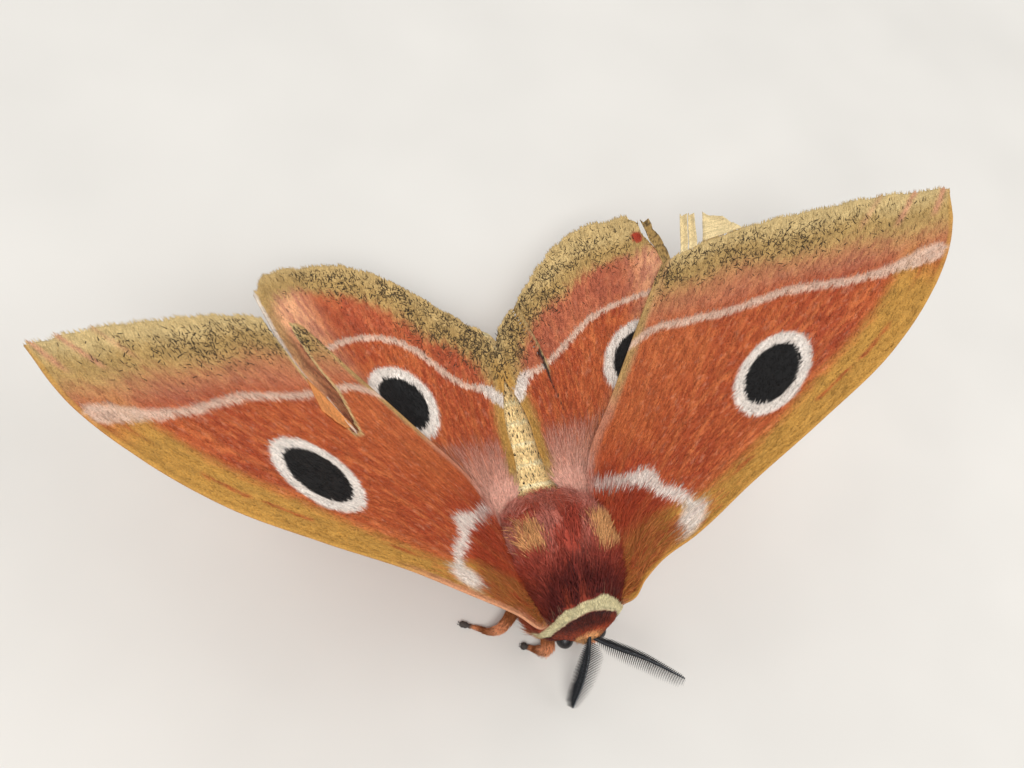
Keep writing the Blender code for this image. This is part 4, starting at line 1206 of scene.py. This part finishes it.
def hindwingColours(side, places, under):
    x, y = places[..., 0], places[..., 1]
    palette, marks = wingColours, hindMarks
    fibre, _, fray = strands(places, (5, 6), (120, 220), 31)
    cloud = grain(x / 4, y / 5, 33)
    speckle = grain(x / 0.3, y / 0.35, 34)
    beyond = beyondLine(places, marks["outerLine"][side], hindOutline["outer"][3])[0]
    bandIn = beyondLine(places, marks["bandEdge"][side], hindOutline["outer"][3])[0]
    costa = nearLine(places, hindOutline["costa"], 40)
    inner = nearLine(places, hindOutline["inner"], 40)
    veins = veinDistance(places, hindVeins)
    # the costal strip: the wing's own pinkish colour, made wider and paler salmon as painted light where the
    # forewing shades it
    stripWithPaintedLight = ease(8.5, 3.5, costa + fray) * ease(14.0, 22.0, y)
    hem = ease(0.5, 1.5, (y - 12.5) / 4) * ease(33.0, 27.0, y)
    lineHalf = 0.28 + 0.35 * ease(4.5, 2.0, x)
    paleLine = ease(lineHalf + 0.28, lineHalf - 0.12, np.abs(beyond + fray * 0.5)) * ease(2.0, 4.5, costa)
    radius = spotRadius(x, y, marks["spotCentre"][side], marks["spotHalf"], marks["spotTurn"])
    outer = marks["ringOuter"]
    colour = paint(
        blend(palette["brick"], palette["rust"], cloud), palette,
        ("orange", ease(0.4, 0.9, fibre) * 0.5),
        ("deep", ease(0.2, 2.0, beyond) * 0.3),
        ("pinkish", ease(0.75, 0.95, speckle) * 0.3),
        ("orange", bump(veins, 0.25) * 0.3),
        ("hairPink", ease(23.0, 14.0, y + fray * 3) * ease(11.0, 5.0, x) * 0.8),
        ("mauve", ease(-1.0, 1.0, beyond + fray) * marks["mauve"][side]),
        (blend(palette["pinkish"], palette["salmonPaintedLight"], ease(0.2, 0.7, fibre)), stripWithPaintedLight * 0.9),
        ("straw", ease(-0.9, 1.2, bandIn + fray * 1.5)),
        ("straw", ease(2.2, 0.8, costa + fray) * ease(26.0, 36.0, y) * 0.7),
        ("paleStraw", ease(1.5, 3.4, bandIn + fray) * marks["pale"][side]),
        ("olive", ease(1.5, 0.6, inner + fray) * hem),
        (blend(palette["line"], palette["white"], ease(4.0, 2.0, x)), paleLine * 0.9),
        ("white", ease(outer + 0.08, outer - 0.08, radius + fray * 0.1)),
        ("soot", ease(1.03, 0.97, radius + fray * 0.04)),
        ("white", ease(0.5, 0.25, costa + fray * 0.2) * ease(20.0, 24.0, y) * 0.75),
    )
    if side == "left":
        slit = np.abs(lineDistance(places, np.array(hindSlit[4:]))[0])
        slitX, slitY = np.array(hindSlit[4:]).T
        lipSide = ease(0.0, 0.15, x - np.interp(y, slitY, slitX))
        lip = ease(0.5, 0.3, slit + fray * 0.3) * ease(27.0, 29.5, y) * lipSide
        (wornX, wornY), (halfX, halfY) = hindWorn["centre"], hindWorn["half"]
        worn = np.hypot((x - wornX) / halfX, (y - wornY) / halfY)
        crack, crackShare = lineDistance(places, np.array(hindCrack))
        crackHalf = 0.1 * (1 - crackShare)
        crackDark = ease(crackHalf + 0.1, crackHalf - 0.04, np.abs(crack)) * ease(1.0, 0.8, crackShare)
        colour = paint(
            colour, palette,
            (palette["paleStraw"] * (0.6 + 0.5 * fibre)[..., None], lip * 0.8),
            (palette["soot"] * 3, crackDark),
            ("deep", ease(1.2, 0.85, worn)),
        )
    return scaled(colour, fibre, under)


def hindwingGrid(across, along):
    base = wingBase("left", hindOutline["base"], across)
    front = smoothCurve(np.concatenate([base[:1], np.array(hindOutline["costa"][1:])]), along)
    back = smoothCurve(np.concatenate([base[-1:], np.array(hindOutline["inner"][1:])]), along)
    outer = smoothCurve(np.array(hindOutline["outer"]), across)
    return coonsPatch(base, outer, front, back, across, along)


def makeHindwing(side):
    along, across = np.linspace(0, 1, wing["hindwingRows"]), np.linspace(0, 1, wing["columns"])
    places = hindwingGrid(across, along)
    inward = unit(np.array(hindOutline["middle"]) - places)
    teeth = fringeTeeth(across, along, 50 + sides[side], wing["lobes"]["hindwing"])
    places = places + inward * teeth[..., None]
    keep = np.ones((len(along) - 1, len(across) - 1), bool)
    lip = np.zeros(places.shape[:2])
    if side == "left":
        slitGap = lineDistance(places, np.array(hindSlit[4:]))[0]
        lip = 0.7 * bump(np.abs(slitGap) - 0.1, 0.35) * ease(26.0, 32.0, places[..., 1])
        lip = lip * (insideOf(places, [*hindSlit[4:], (9.0, 38.4), (9.0, 24.2)]))
        places, keep = tearGrid(places, hindSlit)
        places, kept = tearGrid(places, hindTorn)
        keep &= kept
    plan = places * (sides[side], 1.0)
    x, y = plan[..., 0], plan[..., 1]
    relief = wingRelief(places, hindVeins, along)
    middle = np.stack([x, y, hindwingHeight(side, x, y) + relief + lip], axis=-1)
    half = np.full(x.shape, wing["halfThickness"])
    return finishWing("hindwing", side, (middle, half, keep, places))


wingTints["hindwing"] = hindwingColours
wingSurfaces.update({("hindwing", side): makeHindwing(side) for side in sides})
print("hindwings ready")


# Scales and hairs on the wings

scaleShape = {
    "perPiece": 19000, "rings": (0.0, 0.55), "taper": 0.45, "thick": 0.35, "sunk": 0.02,
    "lift": 0.1, "bend": 0.03, "rootPaintedShade": 0.8, "tipPaintedLight": 1.12, "slot": "wing_scales",
}
hairShape = dict(scaleShape, rings=(0.0, 0.35, 0.7), perPiece=12000)
wingHairs = {
    # rows and columns: the zone, as shares of the grid; length and half width near the root and far out;
    # mixed: a colour that some hairs take, by wing; pull: the power that draws roots to the wing's root
    "scales": {
        "count": 12500, "rows": (0.02, 0.985), "columns": (0.01, 0.99),
        "length": (0.85, 0.5), "half": (0.05, 0.07), "shape": scaleShape,
    },
    "fringe": {
        "count": 1100, "rows": (0.985, 0.998), "columns": (0.0, 1.0),
        "length": (0.6, 0.6), "half": (0.05, 0.05), "shape": dict(scaleShape, lift=0.04, bend=0.06),
    },
    "baseHair": {
        "count": 1500, "rows": (0.02, 0.32), "columns": (0.08, 0.9), "mixed": {"hindwing": "hairPink"},
        "length": (2.3, 1.9), "half": (0.04, 0.04), "shape": dict(hairShape, lift=0.2, bend=0.12),
    },
    "rootHair": {
        "count": 2000, "rows": (0.0, 0.15), "columns": (0.05, 0.98), "pull": 1.2,
        "mixed": {"forewing": "deep", "hindwing": "hairPink"},
        "length": (1.7, 1.0), "half": (0.055, 0.05), "shape": dict(hairShape, lift=0.3, bend=0.2),
    },
}


def stillThere(keep, row, column):
    # whether the wing is whole at these places of its grid
    return keep[np.minimum(row.astype(int), len(keep) - 1), np.minimum(column.astype(int), keep.shape[1] - 1)]


def outwardAt(upper, row, column):
    # unit direction away from the wing's root, over three rows either way
    beyond, before = np.minimum(row + 3, len(upper) - 1), np.maximum(row - 3, 0)
    return unit(readGrid(upper, beyond, column) - readGrid(upper, before, column))


def growWingHairs(kind, side, name, hair):
    upper, normal, places, keep = wingSurfaces[kind, side]
    rows, columns = upper.shape[:2]
    share = dice.random(hair["count"]) ** hair.get("pull", 1.0)
    row = (hair["rows"][0] + (hair["rows"][1] - hair["rows"][0]) * share) * (rows - 1)
    column = dice.uniform(*hair["columns"], hair["count"]) * (columns - 1)
    kept = stillThere(keep, row, column)
    row, column = row[kept], column[kept]
    root, up, place = (readGrid(grid, row, column) for grid in (upper, normal, places))
    heading = outwardAt(upper, row, column)
    lie = laidOn(heading + dice.normal(0.0, wing["hairWander"], heading.shape), up)
    reach = row / rows
    length = np.interp(reach, wing["hairReach"], hair["length"]) * dice.uniform(*wing["lengthVary"], len(row))
    width = np.interp(reach, wing["hairReach"], hair["half"]) * dice.uniform(*wing["halfVary"], len(row))
    tint = wingTints[kind](side, place, False) * dice.uniform(*wing["tintVary"], (len(row), 1))
    if "mixed" in hair:
        tint = blend(tint, wingColours[hair["mixed"][kind]], dice.random(len(row)) * wing["mixedMost"])
    bake = bakeAt(column / columns * halfMap, row / rows)
    growTufts(f"{kind}_{side}_{name}", wingHair, root, up, lie, length, width, tint, bake, hair["shape"])


for (kind, side) in wingSurfaces:
    for name, hair in wingHairs.items():
        if kind in hair.get("mixed", wingTints):
            growWingHairs(kind, side, name, hair)
print("wing scales ready")


# Black strokes scattered over the straw bands, in clusters

strokes = {
    # middle: how far into the straw band they are thickest, and spread: how far either way
    "forewing": {"most": 2400, "middle": 1.7, "spread": 2.3},
    "hindwing": {"most": 1900, "middle": 1.9, "spread": 2.3},
    "tries": 20000, "rows": (0.4, 0.985), "length": 0.5, "half": 0.042, "turn": 0.9, "rise": 0.03,
    "lengthVary": (0.5, 1.5), "halfVary": (0.6, 1.3), "tintVary": (0.6, 2.2),
    # clusters: size, seed and weight of two noises; crowd: where their sum starts and ends to count
    "clusters": ((1.1, 61, 0.6), (3.5, 62, 0.5)), "crowd": (0.1, 0.8), "densest": 0.5,
    "shape": dict(
        scaleShape, lift=0.07, bend=0.05, sunk=0.0, rootPaintedShade=1.0, tipPaintedLight=1.0, taper=0.25, thick=0.25,
    ),
}


def growStrokes(kind, side):
    upper, normal, places, keep = wingSurfaces[kind, side]
    plan = strokes[kind]
    rows, columns = upper.shape[:2]
    row = dice.uniform(*strokes["rows"], strokes["tries"]) * (rows - 1)
    column = dice.uniform(0.0, 1.0, strokes["tries"]) * (columns - 1)
    root, up, place = (readGrid(grid, row, column) for grid in (upper, normal, places))
    if kind == "forewing":
        bandIn = beyondLine(place, foreMarks["bandEdge"], foreOutline["outer"][2])[0]
        apart = ease(3.0, 11.0, place[:, 1]) * 0.8 + 0.2 * ease(0.0, 3.0, place[:, 1])
    else:
        bandIn = beyondLine(place, hindMarks["bandEdge"][side], hindOutline["outer"][3])[0]
        apart = ease(25.0, 20.0, place[:, 0]) * ease(27.0, 34.0, place[:, 1])
    cluster = sum(grain(*place.T / size, seed) * most for size, seed, most in strokes["clusters"])
    weight = bump(bandIn - plan["middle"], plan["spread"]) * apart * ease(*strokes["crowd"], cluster)
    chosen = (dice.random(len(row)) < weight * strokes["densest"]) & stillThere(keep, row, column)
    chosen = np.nonzero(chosen)[0][:plan["most"]]
    row, column, root, up, place = row[chosen], column[chosen], root[chosen], up[chosen], place[chosen]
    ahead = outwardAt(upper, row, column)
    beside = np.cross(up, ahead)
    angle = dice.normal(0.0, strokes["turn"], len(row))[:, None]
    heading = ahead * np.cos(angle) + beside * np.sin(angle)
    lie = laidOn(heading, up)
    length = strokes["length"] * dice.uniform(*strokes["lengthVary"], len(row))
    width = strokes["half"] * dice.uniform(*strokes["halfVary"], len(row))
    tint = wingColours["speck"] * dice.uniform(*strokes["tintVary"], (len(row), 1))
    bake = bakeAt(column / columns * halfMap, row / rows)
    root = root + up * strokes["rise"]
    growTufts(f"{kind}_{side}_strokes", wingHair, root, up, lie, length, width, tint, bake, strokes["shape"])


for (kind, side) in wingSurfaces:
    growStrokes(kind, side)


# Torn scraps curled up at the wings' edges

scrapForm = {"grid": (29, 11), "wear": 0.25, "above": 0.12, "half": 0.05}
scraps = {
    # wing, side, rise at the free end, roll across it, colour, and corners: two on the wing, two free
    "scrap_first": ("forewing", "left", 0.5, 0.3, "creamStraw",
                    [(34.5, 22.4), (35.3, 21.9), (38.6, 25.2), (38.2, 26.0)]),
    "scrap_second": ("forewing", "left", 0.6, 0.3, "creamStraw",
                     [(35.4, 21.8), (36.3, 21.2), (39.0, 24.4), (38.7, 25.1)]),
    "scrap_folded": ("forewing", "left", 0.4, 0.25, "creamStraw",
                     [(37.1, 21.0), (40.8, 17.8), (40.4, 20.9), (39.8, 23.6)]),
    "scrap_tan": ("forewing", "right", 0.15, 0.2, "tanScrap",
                  [(30.6, 15.6), (28.3, 12.0), (25.2, 11.2), (24.6, 12.2)]),
    "scrap_cream": ("forewing", "right", 0.35, 0.1, "line",
                    [(28.0, 14.3), (28.0, 14.6), (24.0, 11.5), (24.1, 11.3)]),
    "scrap_edge": ("hindwing", "left", 0.3, 0.5, "straw",
                   [(23.2, 37.0), (22.3, 36.8), (22.2, 44.4), (23.0, 44.0)]),
}


def makeScrap(name, kind, side, rise, roll, shade, corners):
    # bilinear patch of the corners, raised as rise * v^2 + roll * (2u - 1)^2
    corners = np.array(corners)
    rows, columns = scrapForm["grid"]
    u, v = np.meshgrid(np.linspace(0, 1, columns), np.linspace(0, 1, rows))
    mixed = (
        corners[0] * ((1 - u) * (1 - v))[..., None] + corners[1] * (u * (1 - v))[..., None]
        + corners[2] * (u * v)[..., None] + corners[3] * ((1 - u) * v)[..., None]
    )
    worn = grain(u * 3, v * 9, 71) - 0.5
    mixed = mixed + worn[..., None] * scrapForm["wear"] * ease(0.1, 0.4, v)[..., None]
    plan = planOf(side, mixed) if kind == "forewing" else mixed * (sides[side], 1.0)
    height = (forewingHeight if kind == "forewing" else hindwingHeight)(side, plan[..., 0], plan[..., 1])
    curl = scrapForm["above"] + rise * v**2 + roll * (2 * u - 1) ** 2 * ease(0.0, 0.3, v)
    middle = np.concatenate([plan, (height + curl)[..., None]], axis=-1)
    keep = np.ones((rows - 1, columns - 1), bool)
    points, quads, used = sheet(middle, np.full(u.shape, scrapForm["half"]), keep)[:3]
    tint = wingColours[shade] * (0.75 + 0.4 * grain(u * 4, v * 24, 72))[..., None]
    if shade == "straw":
        flecks = ease(0.55, 0.7, grain(u * 8, v * 30, 73))
        tint = blend(tint, wingColours["speck"], flecks * 0.75)
    tint = np.concatenate([tint.reshape(-1, 3)] * 2)[used]
    piece = makePiece(name, points, [quads], wingScales, tint, sheetBake(u * halfMap, v, used))


for name, scrap in scraps.items():
    makeScrap(name, *scrap)
print("strokes and scraps ready")


# Feelers

feeler = {
    "stops": {
        "left": [(0.85, -2.65, -5.1), (1.88, -3.66, -4.9), (5.7, -6.75, -4.0), (9.1, -9.65, -4.2)],
        "right": [(0.45, -2.6, -4.6), (0.15, -3.83, -5.2), (-0.6, -6.5, -8.1), (-1.6, -8.75, -12.0)],
    },
    "turn": {"left": 30.0, "right": 0.0},
    "radius": 0.24,
    "tipRadius": 0.07,
    "leastRadius": 0.02,
    "ripple": 0.1,
    "rows": 120,
    "around": 10,
    "pairs": 46,
    "rayZone": (0.06, 0.99),
    "beadZone": (0.2, 0.97),
    # lengths and half widths of the teeth on the two sides of the shaft
    "rayLength": {"left": (1.5, 2.1), "right": (2.1, 1.6)},
    "rayHalf": {"left": (0.15, 0.08), "right": (0.075, 0.15)},
    # length of the teeth along the feeler, its greatest as 1: place, near side, far side
    "profile": ((0.05, 0.15, 0.35, 0.6, 0.85, 0.95, 1.0), (0.7, 1.0, 0.95, 0.75, 0.5, 0.35, 0.1),
                (0.35, 0.7, 0.95, 1.0, 0.85, 0.55, 0.1)),
    "lean": 0.5,
    # beads: small lumps along the shaft, coloured light grey as painted glints; length, and half width and
    # height as shares of the length and the shaft's radius
    "bead": 0.12,
    "beadHalf": 0.35,
    "beadHeight": 0.8,
    "tintVary": (0.8, 1.3),
    "colour": srgb(24, 25, 28),
    # light grey of the beads: painted glints on the dark shaft
    "paintedGlint": srgb(150, 155, 160),
    "shape": {
        "perPiece": 12000, "rings": (0.0, 0.35, 0.7), "taper": 0.65, "thick": 0.8, "sunk": 0.0,
        "lift": 0.02, "bend": 0.14, "rootPaintedShade": 1.0, "tipPaintedLight": 1.1, "slot": "antenna",
    },
}


def readAlong(place, share, *grids):
    # each grid's rows, read at these places along the path
    return [np.stack([np.interp(place, share, column) for column in grid.T], axis=-1) for grid in grids]


def makeFeeler(side):
    share = np.linspace(0, 1, feeler["rows"])
    path = smoothCurve(feeler["stops"][side], share)
    along, across, up = pathFrames(path)
    across, up = turned(across, up, math.radians(feeler["turn"][side]))
    radius = feeler["radius"] + (feeler["tipRadius"] - feeler["radius"]) * share
    ripple = feeler["ripple"] * np.cos(share * feeler["pairs"] * 2 * math.pi)
    radius = np.maximum(radius * (1 + ripple) * ease(1.0, 0.98, share), feeler["leastRadius"])
    points, faces = tube(path, across, up, radius, feeler["around"])
    tint = np.tile(feeler["colour"], (len(points), 1))
    bake = ringBake(feeler["around"], share)
    shaft = makePiece("feeler_" + side, points, faces, feelerHorn, tint, bake)
    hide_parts("antenna_" + side)
    place = np.tile(np.linspace(*feeler["rayZone"], feeler["pairs"]), 2)
    beside = np.repeat([-1.0, 1.0], feeler["pairs"])
    root, forward, outward, over = readAlong(place, share, path, along, across, up)
    lie = unit(outward * beside[:, None] + forward * feeler["lean"])
    marks, *shares = feeler["profile"]
    profile = np.where(beside < 0, *(np.interp(place, marks, lengths) for lengths in shares))
    half = np.where(beside < 0, *feeler["rayHalf"][side]) * (0.5 + 0.5 * profile)
    tints = np.tile(feeler["colour"], (len(place), 1)) * dice.uniform(*feeler["tintVary"], (len(place), 1))
    places = bakeAt(0.5 + 0.3 * beside, place)
    length = np.where(beside < 0, *feeler["rayLength"][side]) * profile
    growTufts("rays_" + side, feelerHorn, root, over, lie, length, half, tints, places, feeler["shape"])
    # a row of light grey beads on top of the shaft: painted glints
    bead = np.linspace(*feeler["beadZone"], feeler["pairs"])
    root, forward, over = readAlong(bead, share, path, along, up)
    top = root + over * np.interp(bead, share, radius)[:, None] * feeler["beadHeight"]
    paintedGlint = np.tile(feeler["paintedGlint"], (len(bead), 1))
    places = bakeAt(np.full(len(bead), 0.5), bead)
    sizes = np.full(len(bead), feeler["bead"])
    beadShape = dict(feeler["shape"], lift=0.3, bend=0.0, rings=(0.0, 0.5))
    halves = sizes * feeler["beadHalf"]
    growTufts("beads_" + side, feelerHorn, top, over, forward, sizes, halves, paintedGlint, places, beadShape)


feelerHorn = coatMaterial("feelerHorn", grainSize=0.12, contrast=0.2, bumpHeight=0.03, roughness=0.38)
for side in sides:
    makeFeeler(side)
print("feelers ready")


# Eyes: balls set into the head, their facets a fine cell pattern

eye = {
    "centre": (0.2, -2.05, -6.5),
    "apart": 1.95,
    "radius": 0.95,
    "colour": srgb(18, 12, 10),
    "facet": 0.07,
    "facetDepth": 0.02,
    # shade of a facet: distances from its middle, and the colour's factors there
    "facetShade": (0.0, 0.8, 1.3, 0.6),
    "roughness": 0.3,
    "rows": 40,
    "around": 48,
}


def makeEyes():
    bench = NodeBench("eyeFacets")
    cells = bench.node("ShaderNodeTexVoronoi")
    cells.inputs["Scale"].default_value = 1 / (eye["facet"] * mm)
    bench.link(bench.coordinates(), cells.inputs["Vector"])
    shade = bench.range(cells.outputs["Distance"], *eye["facetShade"])
    bench.link(bench.scale(bench.attribute("tint"), shade), bench.shader.inputs["Base Color"])
    bench.link(bench.bump(cells.outputs["Distance"], -eye["facetDepth"] * mm), bench.shader.inputs["Normal"])
    material = bench.finish(eye["roughness"], coat=0.15, specular=0.35)
    for side, sign in sides.items():
        middle = np.array(eye["centre"]) + (sign * eye["apart"], 0.0, 0.0)
        lean = np.linspace(0, math.pi, eye["rows"])[1:-1, None]
        turn = np.arange(eye["around"]) / eye["around"] * 2 * math.pi
        ball = (np.cos(lean) * sign, np.sin(lean) * np.cos(turn), np.sin(lean) * np.sin(turn))
        rings = np.stack(np.broadcast_arrays(*ball), axis=-1)
        points, faces = ringSurface(middle + rings * eye["radius"])
        tint = np.tile(eye["colour"], (len(points), 1))
        ball = makePiece("eyeball_" + side, points, faces, material, tint)
        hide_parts("eye_" + side)


makeEyes()
print("eyes ready")


# Legs: (place, radius) from the thorax to the foot, on the moth's left; the right ones mirror them

legs = {
    "foreleg": [
        ((1.9, 2.6, -9.4), 0.95), ((2.1, 1.2, -10.9), 0.8), ((2.2, -0.6, -11.4), 0.72),
        ((2.6, -1.8, -11.45), 0.7), ((3.5, -1.5, -12.6), 0.36), ((4.0, -1.1, -13.0), 0.25),
        ((5.0, -0.5, -13.05), 0.26),
    ],
    "midleg": [
        ((2.5, 6.1, -9.4), 0.95), ((3.2, 4.9, -11.0), 0.8), ((5.2, 3.1, -11.3), 0.66),
        ((7.2, 1.7, -11.4), 0.52), ((8.4, 1.9, -12.5), 0.34), ((9.1, 2.5, -13.0), 0.26),
        ((11.2, 3.7, -13.05), 0.22),
    ],
    "hindleg": [
        ((2.2, 8.0, -9.4), 0.95), ((3.1, 9.6, -11.0), 0.8), ((5.4, 12.6, -11.2), 0.72),
        ((7.6, 15.6, -11.25), 0.6), ((8.9, 18.6, -12.5), 0.36), ((9.6, 20.4, -13.0), 0.27),
        ((11.0, 25.4, -13.05), 0.22),
    ],
}
leg = {
    "colour": srgb(150, 84, 40),
    # pale of the knee: its own paler colour, lightened as a painted highlight
    "knee": srgb(238, 158, 112),
    "foot": srgb(66, 60, 56),
    # share of the leg: half the knee's pale patch (its paler hair, brightened further as a painted
    # highlight), the pale stretch past it, and where the foot darkens
    "kneeHalf": 0.09,
    "shin": (0.17, 0.23),
    "shinPale": 0.4,
    "footZone": (0.87, 0.91),
    "patches": 40,
    # foot: its swellings, their height, and the height and place of the last one
    "toes": 5,
    "toeSwell": 0.16,
    "tipSwell": 0.7,
    "tipPlace": 0.96,
    "tipHalf": 0.03,
    "furCount": 1700,
    "furLength": 0.8,
    "furHalf": 0.05,
    "furRoot": 0.97,
    "furWander": 0.2,
    "lengthVary": (0.6, 1.3),
    "tintVary": (0.7, 1.3),
    "furPastSide": 0.55,
    "furClear": 0.15,
    "clawLength": 0.16,
    "clawHalf": 0.07,
    "clawApart": 0.12,
    "clawSpread": 0.5,
    "rows": 90,
    "around": 16,
    "shape": dict(furShape, rings=(0.0, 0.5), perPiece=19000, lift=0.25, bend=0.08, slot="leg_scales"),
}


def legTint(share, kneeShare, count):
    shin = ease(kneeShare + leg["shin"][0], kneeShare + leg["shin"][1], share)
    # the knee's pale patch, partly its own colour and partly a painted highlight
    tint = blend(leg["colour"], leg["knee"], bump(share - kneeShare, leg["kneeHalf"]) * 0.95)
    tint = blend(tint, leg["knee"], shin * leg["shinPale"])
    tint = blend(tint, leg["foot"], ease(*leg["footZone"], share))
    return tint * (0.8 + 0.4 * grain(share * leg["patches"], np.full(share.shape, count), 81))[..., None]


def makeLeg(name, side, number):
    stops = np.array([place for place, radius in legs[name]]) * (sides[side], 1.0, 1.0)
    steps = np.linalg.norm(np.diff(stops, axis=0), axis=1)
    marks = np.concatenate([[0.0], np.cumsum(steps)]) / steps.sum()
    share = np.linspace(0, 1, leg["rows"])
    path = smoothCurve(stops, share)
    along, across, up = pathFrames(path)
    radius = np.interp(share, marks, [radius for place, radius in legs[name]])
    knee, ankle, sole = marks[-4:-1]
    foot = ease(ankle, sole, share)
    radius = radius * (1 + leg["toeSwell"] * foot * np.cos(share * leg["toes"] * 2 * math.pi / (1 - sole)))
    radius = radius * (1 + leg["tipSwell"] * bump(share - leg["tipPlace"], leg["tipHalf"]))
    points, faces = tube(path, across, up, radius, leg["around"])
    points[:, 2] = np.maximum(points[:, 2], footLevel)
    tint = legTint(np.append(np.repeat(share, leg["around"]), (0.0, 1.0)), knee, number)
    bake = ringBake(leg["around"], share)
    skin = makePiece(f"{name}_{side}_skin", points, faces, bodySkin, tint, bake)
    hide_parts(f"{name}_{side}")
    place = dice.uniform(0.0, sole + 0.02, leg["furCount"])
    turn = dice.uniform(-leg["furPastSide"], math.pi + leg["furPastSide"], leg["furCount"])
    centre, forward, beside, over, thick = readAlong(place, share, path, along, across, up, radius[:, None])
    normal = beside * np.cos(turn)[:, None] + over * np.sin(turn)[:, None]
    root = centre + normal * thick * leg["furRoot"]
    lie = laidOn(forward + dice.normal(0.0, leg["furWander"], forward.shape), normal)
    length = leg["furLength"] * (0.45 + 0.55 * ease(0.3, 0.7, thick[:, 0]))
    length = length * dice.uniform(*leg["lengthVary"], len(place))
    tints = legTint(place, knee, number) * dice.uniform(*leg["tintVary"], (len(place), 1))
    places = bakeAt(turn / (2 * math.pi) % 1.0, place)
    half = np.full(len(place), leg["furHalf"])
    clear = root[:, 2] + lie[:, 2] * length > footLevel + leg["furClear"]
    growTufts(
        f"{name}_{side}_fur", bodyFur, root[clear], normal[clear], lie[clear], length[clear],
        half[clear], tints[clear], places[clear], leg["shape"],
    )
    beside = np.outer([-1.0, 1.0], across[-1])
    clawRoot = path[-1] + along[-1] * 0.1 + beside * leg["clawApart"]
    clawLie = unit(along[-1] + beside * leg["clawSpread"] + (0.0, 0.0, -0.1))
    clawShape = dict(feeler["shape"], lift=0.35, bend=0.6, slot="leg_scales")
    clawTint = np.tile(leg["foot"] * 0.5, (2, 1))
    growTufts(
        f"{name}_{side}_claws", feelerHorn, clawRoot, np.tile([0.0, 0.0, 1.0], (2, 1)), clawLie,
        np.full(2, leg["clawLength"]), np.full(2, leg["clawHalf"]), clawTint,
        np.full((2, 2), 0.98), clawShape,
    )


for number, name in enumerate(legs):
    for side in sides:
        makeLeg(name, side, number * 2 + (side == "left"))
print("legs ready")


triangles = sum(len(mesh.loops) - 2 * len(mesh.polygons) for mesh in bpy.data.meshes)
print("triangles in all", triangles)
